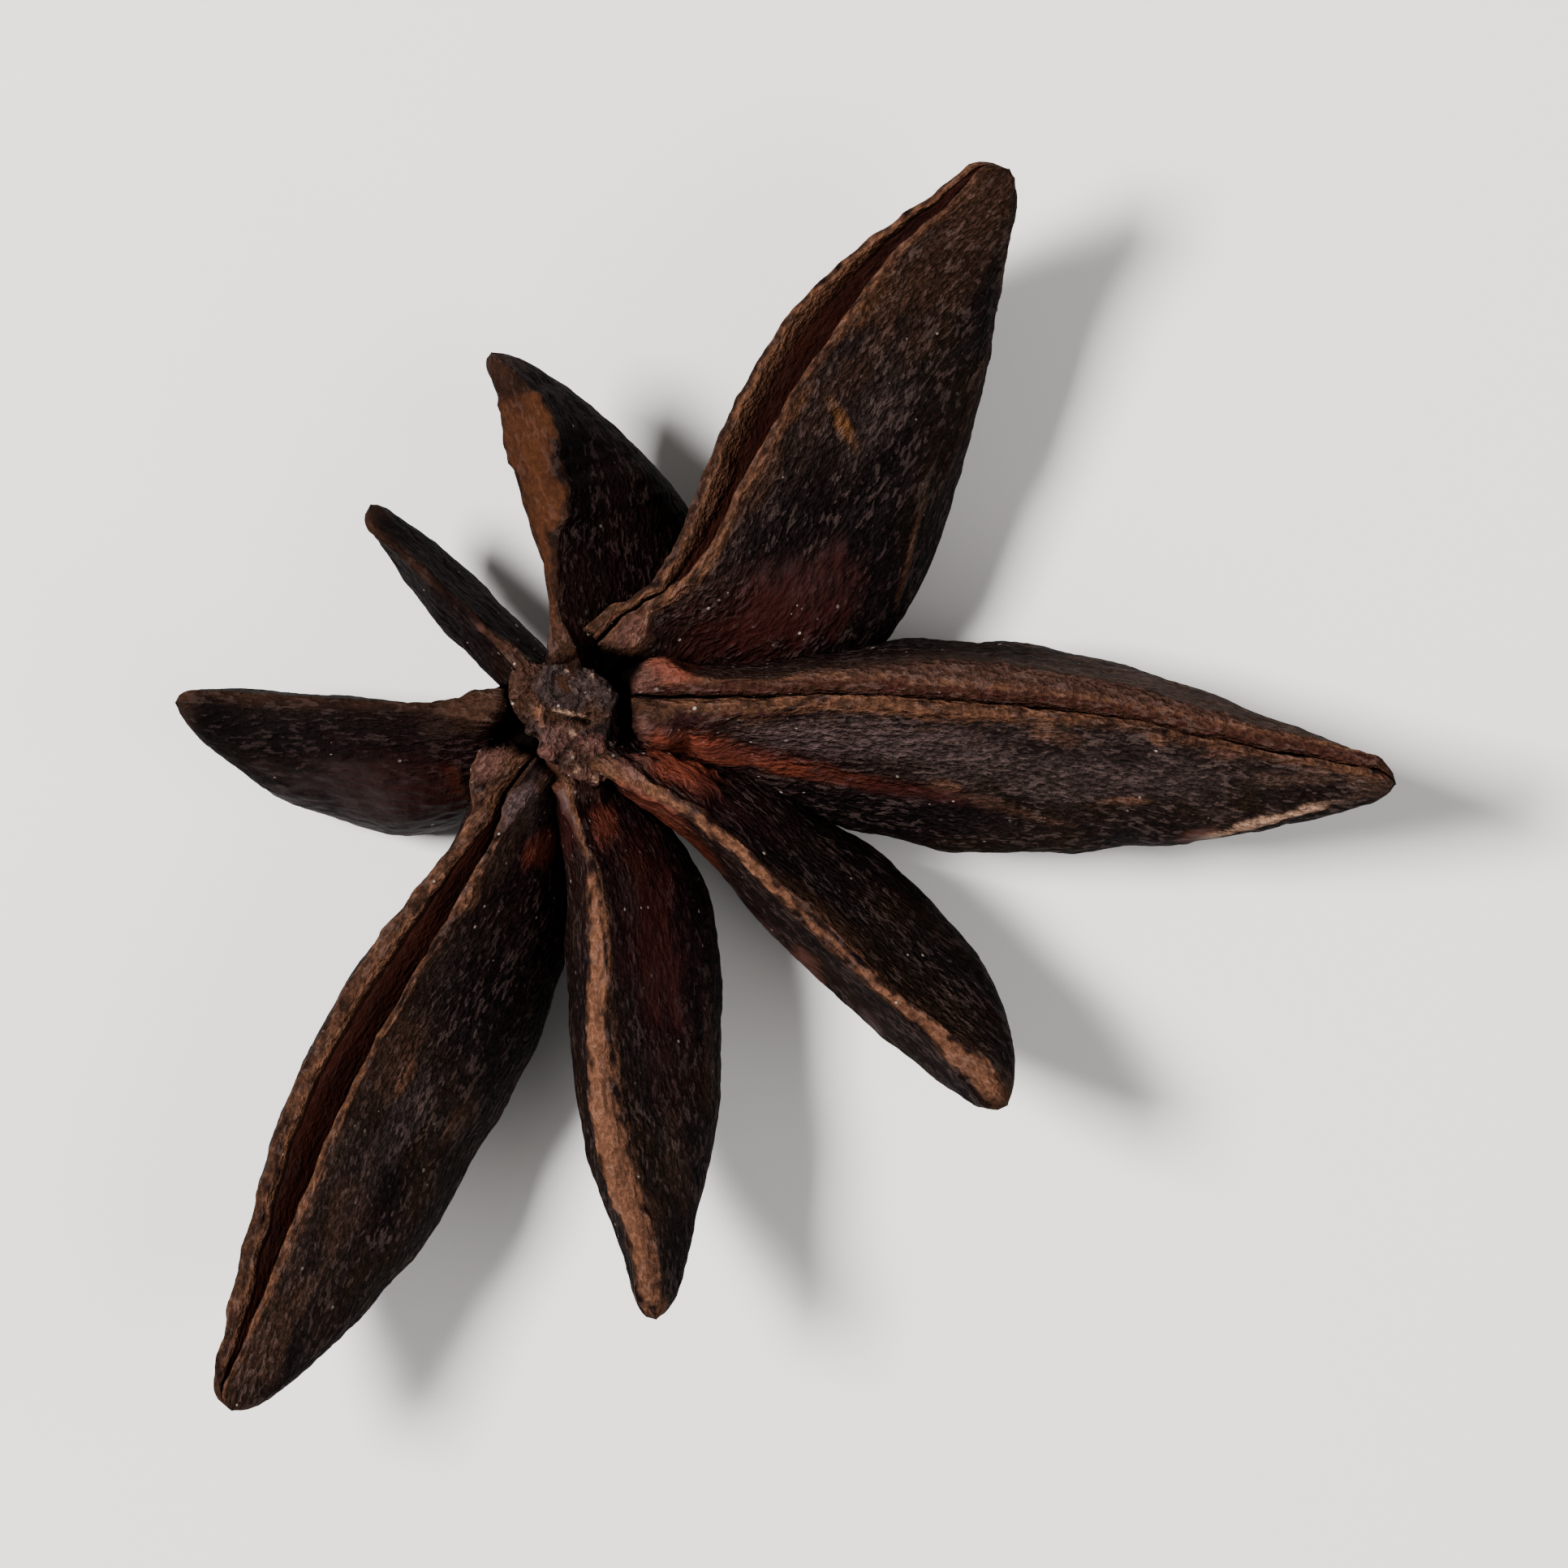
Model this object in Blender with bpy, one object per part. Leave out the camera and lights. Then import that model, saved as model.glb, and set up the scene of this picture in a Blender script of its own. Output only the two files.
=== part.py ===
"""Star anise pod: eight boat-shaped follicles round a short woody column, one solid.

The pod lies on its keels with the slits upwards. Each follicle is one lofted shell: a pear-shaped
section, narrow at its lips and round at its keel, is carried from the column to the beak. An open
follicle is hollow under its slit, and the two lips of a shut one are a single ridge.
"""

import math

import bmesh
import bpy
from mathutils import Matrix, Vector, noise

MM = 0.001

# The column that carries the follicles.
COLUMN_TOP = 7.3 * MM
COLUMN_CROWN = 0.15 * MM        # how far the middle of its broken top stands up
COLUMN_WAIST = 1.1 * MM
COLUMN_FOOT_RADIUS = 1.7 * MM
COLUMN_FOOT = 2.6 * MM
STALK_RADIUS = 0.85 * MM
STALK_END = 1.0 * MM
COLUMN_SIDES = 24

# How far the broken top of the column reaches in each direction, in degrees and millimetres.
COLUMN_RIM = [
    (0, 0.98), (30, 1.12), (60, 1.20), (90, 1.27), (120, 1.55), (150, 1.85), (175, 1.60),
    (195, 1.30), (215, 1.18), (240, 1.35), (265, 1.85), (290, 2.00), (315, 1.55), (335, 1.12),
    (360, 0.98),
]

# What all the follicles share.
ROOT_REACH = 0.35 * MM          # where a follicle starts, from the column's axis
NECK_HALF_WIDTH = 0.55 * MM
ROOT_DEPTH = 4.6 * MM
LIP_HEIGHT = 7.75 * MM
LIP_CLIMB = 0.38 * MM           # the length over which the lips come up beside the column
LIP_CROWN = 0.45 * MM           # how far the lips rise between the column and the beak
BEAK_RISE = 0.55 * MM
BEAK_HALF_WIDTH = 0.28 * MM
BEAK_DEPTH = 1.3 * MM
WALL = 0.55 * MM
LOWEST_POINT_FLAT = 0.0         # the height at which the keels are worn flat
FOLD = 0.20 * MM                # how far the walls' dried folds stand out
FOLD_LENGTH = 1.8 * MM
PEAR_WIDEST = 0.60              # how far down the section is widest, of its depth
PEAR_FULLNESS = 0.80

# One turn round a section, in steps, and how close the sections are.
WALL_STEPS = 8
LIP_STEPS = 2
HOLLOW_STEPS = 2
STATION_SPACING = 0.85 * MM

# Heading and roll are in degrees, and widest, blunt, hollow and bow_late are plain numbers. The
# rest is in millimetres. A follicle rolls and bows to the left of its heading, and its inner end
# drops by sink into the gap round the column.
FOLLICLES = {
    "north_east": dict(heading=52.7, length=17.6, half_width=2.5, depth=9.5, roll=-32.0, bow=1.2,
                       bow_late=1.9, hollow=0.70, widest=0.44, blunt=2.2, droop=0.6, sink=1.8),
    "east": dict(heading=-4.4, length=20.8, half_width=2.5, depth=8.7, roll=-14.0, bow=1.1,
                 bow_late=0.8, hollow=0.16, widest=0.50, blunt=1.7, sink=2.4),
    "south_east": dict(heading=-42.7, length=14.7, half_width=1.65, depth=6.9, roll=13.0, bow=0.0,
                       widest=0.66, blunt=2.6, sink=0.6),
    "south": dict(heading=-83.2, length=15.4, half_width=1.85, depth=7.3, roll=18.0, bow=-0.45,
                  widest=0.45, blunt=1.9, sink=0.7),
    "south_west": dict(heading=-117.0, length=19.6, half_width=2.15, depth=9.1, roll=21.0, bow=-1.45,
                       bow_late=1.0, hollow=0.70, widest=0.49, blunt=2.5, sink=2.1),
    "west": dict(heading=177.0, length=10.2, half_width=1.45, depth=8.1, roll=20.0, bow=0.0,
                 widest=0.42, blunt=2.2, droop=2.3, sink=2.0),
    "north": dict(heading=105.5, length=9.4, half_width=1.5, depth=7.2, roll=-34.0, bow=0.0,
                  widest=0.40, blunt=1.7, droop=1.1, sink=0.5),
    "north_west": dict(heading=134.0, length=7.5, half_width=0.75, depth=4.6, roll=4.0, bow=0.0,
                       widest=0.45, blunt=2.0, droop=2.6, sink=0.5),
}

# The lips along each follicle, in millimetres: how far out, how far the middle lies to the left of
# the heading line, the gap, and the widths of the left and the right lip. The first row is where
# the lips come up beside the column. A follicle without a gap is shut.
LIPS = {
    "north_east": [
        (1.50, 0.75, 0.05, 0.45, 0.80), (2.60, 0.68, 0.08, 0.40, 0.85), (3.20, 0.45, 0.08, 0.24, 0.34),
        (3.90, 0.15, 0.16, 0.34, 0.26), (4.60, 0.09, 0.46, 0.30, 0.30), (5.30, 0.15, 0.65, 0.30, 0.28),
        (6.10, 0.30, 0.71, 0.38, 0.26), (7.00, 0.57, 0.79, 0.38, 0.26), (8.00, 0.79, 0.96, 0.34, 0.30),
        (9.00, 0.96, 1.08, 0.33, 0.26), (10.0, 1.11, 1.16, 0.28, 0.22), (11.0, 1.17, 1.15, 0.28, 0.22),
        (12.0, 1.17, 1.04, 0.24, 0.26), (13.0, 1.12, 0.84, 0.22, 0.26), (14.0, 0.99, 0.62, 0.20, 0.22),
        (15.0, 0.76, 0.42, 0.19, 0.20), (16.0, 0.47, 0.32, 0.19, 0.20), (17.0, 0.36, 0.18, 0.18, 0.18),
        (17.6, 0.28, 0.05, 0.15, 0.15),
    ],
    "east": [
        (1.15, 0.60, 0.10, 0.80, 0.95), (2.10, 0.62, 0.10, 0.92, 1.05), (2.90, 0.70, 0.09, 0.50, 0.85),
        (4.30, 0.82, 0.11, 0.38, 0.50), (6.50, 1.07, 0.11, 0.62, 0.32), (8.00, 1.15, 0.11, 0.80, 0.40),
        (9.00, 1.15, 0.11, 0.95, 0.42), (11.0, 1.15, 0.11, 1.00, 0.38), (12.5, 1.10, 0.11, 0.95, 0.26),
        (14.0, 1.00, 0.11, 0.85, 0.20), (16.0, 0.70, 0.11, 0.70, 0.20), (18.0, 0.43, 0.10, 0.52, 0.20),
        (20.2, 0.22, 0.06, 0.35, 0.20), (20.8, 0.06, 0.04, 0.25, 0.20),
    ],
    "south_east": [
        (1.00, -0.45, 0, 0.32, 0.32), (2.00, -0.32, 0, 0.26, 0.26), (2.60, -0.20, 0, 0.20, 0.20),
        (3.20, 0.00, 0, 0.19, 0.19), (4.10, 0.18, 0, 0.20, 0.20), (5.30, 0.27, 0, 0.22, 0.22),
        (6.80, 0.20, 0, 0.18, 0.18), (8.30, 0.20, 0, 0.18, 0.18), (10.2, 0.17, 0, 0.20, 0.20),
        (12.2, 0.25, 0, 0.28, 0.28), (13.4, 0.24, 0, 0.45, 0.42), (14.4, 0.06, 0, 0.40, 0.38),
    ],
    "south": [
        (1.40, -0.50, 0, 0.40, 0.40), (2.30, -0.45, 0, 0.20, 0.20), (3.00, -0.26, 0, 0.13, 0.13),
        (3.90, -0.04, 0, 0.13, 0.13), (4.40, -0.03, 0, 0.24, 0.24), (6.00, -0.16, 0, 0.31, 0.31),
        (8.00, -0.38, 0, 0.40, 0.40), (10.0, -0.46, 0, 0.48, 0.48), (11.0, -0.34, 0, 0.50, 0.50),
        (12.0, -0.25, 0, 0.50, 0.50), (13.1, 0.05, 0, 0.42, 0.42), (14.1, 0.13, 0, 0.35, 0.35),
        (15.1, 0.03, 0, 0.25, 0.25),
    ],
    "south_west": [
        (1.20, -0.45, 0.08, 0.60, 0.80), (2.00, -0.60, 0.12, 0.70, 1.10),
        (2.60, -0.72, 0.16, 0.50, 0.95), (3.30, -0.62, 0.28, 0.25, 0.55),
        (4.00, -0.62, 0.36, 0.22, 0.45), (5.00, -0.72, 0.47, 0.22, 0.50),
        (6.00, -0.80, 0.60, 0.20, 0.62), (7.00, -0.91, 0.65, 0.20, 0.70),
        (8.00, -1.02, 0.70, 0.22, 0.70), (9.50, -1.13, 0.79, 0.22, 0.68),
        (11.0, -1.16, 0.84, 0.20, 0.64), (12.5, -1.10, 0.80, 0.22, 0.60),
        (14.0, -0.92, 0.70, 0.22, 0.60), (15.5, -0.70, 0.50, 0.22, 0.58),
        (17.0, -0.51, 0.34, 0.20, 0.50), (18.3, -0.36, 0.20, 0.20, 0.40),
        (19.3, -0.29, 0.06, 0.16, 0.28),
    ],
    "west": [
        (1.60, -0.25, 0, 0.50, 0.50), (2.40, -0.15, 0, 0.42, 0.42), (3.00, 0.00, 0, 0.17, 0.17),
        (4.30, 0.03, 0, 0.14, 0.14), (10.2, 0.00, 0, 0.15, 0.15),
    ],
    "north": [
        (1.25, 0.05, 0, 0.50, 0.50), (1.80, -0.05, 0, 0.34, 0.34), (2.40, -0.15, 0, 0.14, 0.14),
        (3.80, -0.39, 0, 0.13, 0.13), (4.50, -0.50, 0, 0.28, 0.34), (4.90, -0.62, 0, 0.42, 0.62),
        (5.60, -0.68, 0, 0.55, 0.78), (7.00, -0.76, 0, 0.76, 0.92), (8.00, -0.79, 0, 0.70, 0.75),
        (8.30, -0.70, 0, 0.50, 0.50), (9.40, -0.31, 0, 0.30, 0.30),
    ],
    "north_west": [
        (1.10, 0.05, 0, 0.32, 0.32), (2.10, 0.10, 0, 0.14, 0.14), (3.30, 0.18, 0, 0.10, 0.10),
        (5.20, 0.28, 0, 0.10, 0.10), (7.50, 0.45, 0, 0.12, 0.12),
    ],
}


def clear_scene():
    for old in list(bpy.data.objects):
        bpy.data.objects.remove(old, do_unlink=True)


def smoothstep(value):
    value = min(1.0, max(0.0, value))
    return value * value * (3.0 - 2.0 * value)


def row_at(rows, place):
    """The rest of a table's row at a place between its rows."""
    if place <= rows[0][0]:
        return rows[0][1:]
    for row, after in zip(rows, rows[1:]):
        if place <= after[0]:
            share = smoothstep((place - row[0]) / (after[0] - row[0]))
            return tuple(a + (b - a) * share for a, b in zip(row[1:], after[1:]))
    return rows[-1][1:]


def swell(t, widest, blunt):
    """0 at the column, 1 where the follicle is widest, 0 at the tip."""
    if t < widest:
        return math.sin(0.5 * math.pi * t / widest) ** 1.35
    return 1.0 - ((t - widest) / (1.0 - widest)) ** blunt


class Station:
    """One section of a follicle, at t from 0 at the column's axis to 1 at the tip."""

    def __init__(self, name, t, seed):
        follicle = FOLLICLES[name]
        self.t = t
        self.seed = seed
        self.reach = t * follicle["length"] * MM
        share = swell(t, follicle["widest"], follicle["blunt"])
        end = NECK_HALF_WIDTH if t < follicle["widest"] else BEAK_HALF_WIDTH
        self.half_width = end + (follicle["half_width"] * MM - end) * share
        keel_share = swell(t, follicle["widest"] * 0.92, follicle["blunt"] * 0.9)
        end = ROOT_DEPTH if t < follicle["widest"] * 0.92 else BEAK_DEPTH
        self.depth = end + (follicle["depth"] * MM - end) * keel_share
        bow = follicle["bow"] * MM * math.sin(math.pi * t ** follicle.get("bow_late", 1.3))
        middle, gap, left, right = (value * MM for value in row_at(LIPS[name], self.reach / MM))
        self.lean = middle - bow
        self.shut = gap == 0.0
        self.gap = gap
        self.left_lip = left
        self.right_lip = right
        opening = smoothstep((t - 0.07) / 0.14) * smoothstep((1.0 - t) / 0.10)
        cavity = smoothstep((t - 0.12) / 0.30) * smoothstep((0.97 - t) / 0.30)
        shallow = max(0.30 * MM, self.lip_drop(1.0) + 0.15 * MM, self.lip_drop(-1.0) + 0.15 * MM)
        self.cavity = shallow + follicle.get("hollow", 0.0) * self.depth * cavity * opening
        self.shown_side = 1.0 if follicle["roll"] < 0.0 else -1.0
        self.sink = follicle["sink"] * MM
        self.foot = LIPS[name][0][0] * MM
        self.place(follicle, bow)

    def place(self, follicle, bow):
        """Where the section stands on the pod, and how it leans there."""
        heading = math.radians(follicle["heading"])
        ahead = Vector((math.cos(heading), math.sin(heading), 0.0))
        left = Vector((-ahead.y, ahead.x, 0.0))
        up = Vector((0.0, 0.0, 1.0))
        roll = math.radians(follicle["roll"]) * smoothstep(self.t / 0.32)
        self.down = left * math.sin(roll) - up * math.cos(roll)
        self.across = left * math.cos(roll) + up * math.sin(roll)
        rise = LIP_CROWN * math.sin(math.pi * self.t) + BEAK_RISE * smoothstep((self.t - 0.78) / 0.22)
        self.middle = ahead * self.reach + left * bow
        self.middle.z = LIP_HEIGHT + rise - follicle.get("droop", 0.0) * MM * self.t ** 0.8

    def lip_width(self, side):
        return self.left_lip if side > 0 else self.right_lip

    def lip_drop(self, side):
        near_column = 1.0 - smoothstep((self.reach / MM - 2.4) / 1.0)
        if self.shut:
            return min(0.28 * self.lip_width(side), (0.12 + 0.10 * near_column) * MM)
        return min(0.45 * self.lip_width(side), (0.28 + 0.20 * near_column) * MM)

    def wall_across(self, side, v):
        """The outer wall's distance from the middle at v, from 0 at the lips to 1 at the keel."""
        power = math.log(0.5) / math.log(PEAR_WIDEST)
        pear = max(0.0, math.sin(math.pi * v ** power)) ** PEAR_FULLNESS
        lip = (0.5 * self.gap + self.lip_width(side)) * (1.0 - v) ** 1.6
        fold = noise.noise(Vector((self.reach / FOLD_LENGTH, 7.0 * self.seed + 1.3 * v, 3.0 * side)))
        wrinkle = FOLD * fold * pear * swell(self.t, 0.5, 2.0)
        return side * (lip + self.half_width * pear + wrinkle) + self.lean * (1.0 - v) ** 2

    def wall(self, side, share):
        v = math.sin(0.5 * math.pi * share)
        drop = self.lip_drop(side)
        return self.wall_across(side, v), drop + (self.depth - drop) * v

    def lip(self, side, turn):
        """A rounded lip, from 0 at its outer edge to 1 at the slit."""
        across = 0.5 * (self.gap + self.lip_width(side) * (1.0 + math.cos(math.pi * turn)))
        return side * across + self.lean, self.lip_drop(side) * (1.0 - math.sin(math.pi * turn))

    def ridge(self, turn):
        """The one ridge of a shut follicle, from 0 at its right edge to 1 at its left edge."""
        over = 2.0 * turn - 1.0
        side = 1.0 if over > 0 else -1.0
        return over * self.lip_width(side) + self.lean, self.lip_drop(side) * over ** 2

    def hollow(self, side, share):
        v = math.sin(0.5 * math.pi * share)
        drop = self.lip_drop(side)
        down = drop + (self.cavity - drop) * v
        inner = side * (self.wall_across(side, down / self.depth) - self.lean) - WALL - 0.5 * self.gap
        across = 0.5 * self.gap + max(0.0, inner) * smoothstep((v - 0.35) / 0.45)
        if side == self.shown_side:
            across -= min(0.40 * down, 0.65 * self.gap)
        return side * across * math.sqrt(max(0.0, 1.0 - v ** 3)) + self.lean, down

    def ring(self):
        """Across and down from the slit's middle, once round the section."""
        points = [self.wall(1.0, step / WALL_STEPS) for step in range(WALL_STEPS)]
        points += [self.wall(-1.0, 1.0 - step / WALL_STEPS) for step in range(WALL_STEPS)]
        if self.shut:
            return points + [self.ridge(step / (2 * LIP_STEPS)) for step in range(2 * LIP_STEPS)]
        points += [self.lip(-1.0, step / LIP_STEPS) for step in range(LIP_STEPS)]
        points += [self.hollow(-1.0, step / HOLLOW_STEPS) for step in range(HOLLOW_STEPS)]
        points += [self.hollow(1.0, 1.0 - step / HOLLOW_STEPS) for step in range(HOLLOW_STEPS)]
        points += [self.lip(1.0, 1.0 - step / LIP_STEPS) for step in range(LIP_STEPS)]
        return points

    def point(self, across, down):
        """The point's place. The inner end drops away steeply beside the column."""
        spot = self.middle + self.across * across + self.down * down
        climbed = smoothstep((self.reach - self.foot) / LIP_CLIMB)
        spot.z -= self.sink * (1.0 - climbed) * (1.0 - smoothstep(down / (0.85 * self.depth)))
        return spot


def add_object(name, bm):
    bmesh.ops.recalc_face_normals(bm, faces=bm.faces)
    mesh = bpy.data.meshes.new(name)
    bm.to_mesh(mesh)
    bm.free()
    made = bpy.data.objects.new(name, mesh)
    bpy.context.collection.objects.link(made)
    return made


def add_follicle(name, seed):
    length = FOLLICLES[name]["length"] * MM
    foot = LIPS[name][0][0] * MM
    climbed = foot + LIP_CLIMB
    count = round((length - climbed) / STATION_SPACING)
    reaches = [ROOT_REACH, foot] + [climbed + (length - climbed) * row / count for row in range(count + 1)]
    stations = [Station(name, reach / length, seed) for reach in reaches]
    rings = [station.ring() for station in stations]
    spans = len(stations) - 1
    around = len(rings[0])
    bm = bmesh.new()
    bmesh.ops.create_grid(bm, x_segments=around, y_segments=spans, size=0.5)
    for vert in bm.verts:
        step = round((vert.co.x + 0.5) * around) % around
        row = round((vert.co.y + 0.5) * spans)
        vert.co = stations[row].point(*rings[row][step])
    bmesh.ops.remove_doubles(bm, verts=bm.verts, dist=0.0001 * MM)
    bmesh.ops.holes_fill(bm, edges=bm.edges, sides=0)
    bmesh.ops.triangulate(bm, faces=bm.faces)
    return add_object(name, bm)


def add_column():
    """A column with a broken, uneven top, a waist, a foot and the broken end of the stalk."""
    profile = [
        (0.0, COLUMN_TOP + COLUMN_CROWN),
        (0.60 * MM, COLUMN_TOP + 0.6 * COLUMN_CROWN),
        (0.94 * MM, COLUMN_TOP - 0.5 * COLUMN_CROWN),
        (0.98 * MM, COLUMN_TOP - 1.2 * MM),
        (0.95 * COLUMN_WAIST, 0.5 * (COLUMN_TOP + COLUMN_FOOT)),
        (COLUMN_FOOT_RADIUS, COLUMN_FOOT),
        (STALK_RADIUS, 0.5 * (COLUMN_FOOT + STALK_END)),
        (0.9 * STALK_RADIUS, STALK_END),
        (0.0, STALK_END + 0.15 * MM),
    ]
    bm = bmesh.new()
    line = [bm.verts.new((radius, 0.0, height)) for radius, height in profile]
    edges = [bm.edges.new(pair) for pair in zip(line, line[1:])]
    bmesh.ops.spin(bm, geom=line + edges, cent=(0, 0, 0), axis=(0, 0, 1), angle=2 * math.pi,
                   steps=COLUMN_SIDES, use_merge=True)
    bmesh.ops.remove_doubles(bm, verts=bm.verts, dist=0.001 * MM)
    for vert in bm.verts:
        rim = row_at(COLUMN_RIM, math.degrees(math.atan2(vert.co.y, vert.co.x)) % 360.0)[0]
        wide = 1.0 + smoothstep((vert.co.z - 5.2 * MM) / (1.6 * MM)) * (rim - 1.0)
        vert.co.x *= wide
        vert.co.y *= wide
    bmesh.ops.triangulate(bm, faces=bm.faces)
    return add_object("column", bm)


def husk_material():
    material = bpy.data.materials.new("dried husk")
    material.use_nodes = True
    shader = material.node_tree.nodes["Principled BSDF"]
    shader.inputs["Base Color"].default_value = (0.055, 0.027, 0.018, 1.0)
    shader.inputs["Roughness"].default_value = 0.62
    shader.inputs["Metallic"].default_value = 0.0
    return material


def join(base, others):
    """One solid: base and all the others, with what lies inside another removed."""
    for other in others:
        union = base.modifiers.new("union with " + other.name, "BOOLEAN")
        union.operation = "UNION"
        union.solver = "EXACT"
        union.object = other
        depsgraph = bpy.context.evaluated_depsgraph_get()
        mesh = bpy.data.meshes.new_from_object(base.evaluated_get(depsgraph))
        base.modifiers.clear()
        base.data = mesh
        bpy.data.objects.remove(other, do_unlink=True)


def rest_on_keels(pod):
    """Wears the keels flat where the pod rests, and puts the middle of its foot at the origin."""
    bm = bmesh.new()
    bm.from_mesh(pod.data)
    cut = bmesh.ops.bisect_plane(bm, geom=bm.verts[:] + bm.edges[:] + bm.faces[:], dist=0.0001 * MM,
                                 plane_co=(0, 0, LOWEST_POINT_FLAT), plane_no=(0, 0, -1),
                                 clear_outer=True)
    rims = [item for item in cut["geom_cut"] if isinstance(item, bmesh.types.BMEdge)]
    bmesh.ops.holes_fill(bm, edges=rims, sides=0)
    bmesh.ops.triangulate(bm, faces=bm.faces)
    xs = [vert.co.x for vert in bm.verts]
    ys = [vert.co.y for vert in bm.verts]
    middle = Vector((0.5 * (min(xs) + max(xs)), 0.5 * (min(ys) + max(ys)), 0.0))
    bmesh.ops.transform(bm, matrix=Matrix.Translation(-middle), verts=bm.verts)
    bm.to_mesh(pod.data)
    bm.free()


def main():
    clear_scene()
    pod = add_column()
    join(pod, [add_follicle(name, seed) for seed, name in enumerate(FOLLICLES, start=1)])
    rest_on_keels(pod)
    pod.name = "pod"
    pod.data.name = "pod"
    pod.data.materials.clear()
    pod.data.materials.append(husk_material())
    pod.data.shade_smooth()
    pod.data.set_sharp_from_angle(angle=math.radians(50))


main()
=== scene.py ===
"""Star anise pod: the surface of the dried husk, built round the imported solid.

Eight boat-shaped follicles stand round a short crumbling column. Each is lofted from a pear-shaped
section with two lips, or one ridge where it has stayed shut, and then gets its dried relief.
"""

import math

import bmesh
import bpy
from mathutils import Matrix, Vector, noise


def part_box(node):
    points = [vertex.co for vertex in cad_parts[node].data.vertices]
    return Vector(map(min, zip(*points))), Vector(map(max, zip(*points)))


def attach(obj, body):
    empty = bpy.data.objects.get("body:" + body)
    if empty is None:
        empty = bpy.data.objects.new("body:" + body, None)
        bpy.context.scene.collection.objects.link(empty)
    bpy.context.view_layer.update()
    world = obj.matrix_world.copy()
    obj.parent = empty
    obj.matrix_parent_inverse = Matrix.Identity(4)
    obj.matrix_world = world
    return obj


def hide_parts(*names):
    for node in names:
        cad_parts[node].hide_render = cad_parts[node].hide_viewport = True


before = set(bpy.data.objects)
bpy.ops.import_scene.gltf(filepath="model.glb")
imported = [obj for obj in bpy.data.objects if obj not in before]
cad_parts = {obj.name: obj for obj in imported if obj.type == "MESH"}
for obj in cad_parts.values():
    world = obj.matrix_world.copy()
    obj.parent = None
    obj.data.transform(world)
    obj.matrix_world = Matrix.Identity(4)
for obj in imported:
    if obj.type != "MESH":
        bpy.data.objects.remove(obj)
cad_low, cad_high = (Vector(corner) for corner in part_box("pod"))
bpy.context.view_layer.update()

MM = 0.001
NODE = "pod"

# The column's axis, from the low west and low south sides of the pod's box.
HUB = Vector((cad_low.x + 10.217 * MM, cad_low.y + 17.729 * MM, 0.0))

# The column that carries the follicles.
COLUMN_TOP = 7.3 * MM
COLUMN_WAIST = 1.1 * MM
COLUMN_FOOT_RADIUS = 1.7 * MM
COLUMN_FOOT = 2.6 * MM
STALK_RADIUS = 0.85 * MM
STALK_END = 1.0 * MM

# How far the broken top of the column reaches in each direction, in degrees and millimetres.
COLUMN_RIM = [
    (0, 0.98), (30, 1.12), (60, 1.20), (90, 1.27), (120, 1.55), (150, 1.85), (175, 1.60),
    (195, 1.30), (215, 1.18), (240, 1.35), (265, 1.75), (290, 1.80), (315, 1.45), (335, 1.12),
    (360, 0.98),
]

# What all the follicles share.
ROOT_REACH = 0.35 * MM
NECK_HALF_WIDTH = 0.55 * MM
ROOT_DEPTH = 4.6 * MM
LIP_HEIGHT = 7.75 * MM
LIP_CLIMB = 0.38 * MM
LIP_CROWN = 0.45 * MM
BEAK_RISE = 0.55 * MM
BEAK_HALF_WIDTH = 0.28 * MM
BEAK_DEPTH = 1.3 * MM
BEAK_ROUND = 0.6 * MM
WALL = 0.55 * MM
FOLD = 0.20 * MM
FOLD_LENGTH = 1.8 * MM
PEAR_WIDEST = 0.60
PEAR_FULLNESS = 0.80

# One turn round a section, in steps, and how close the sections are.
WALL_STEPS = 92
LIP_STEPS = 12
HOLLOW_STEPS = 22
GROOVE_STEPS = 6
STATION_SPACING = 0.10 * MM

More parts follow.
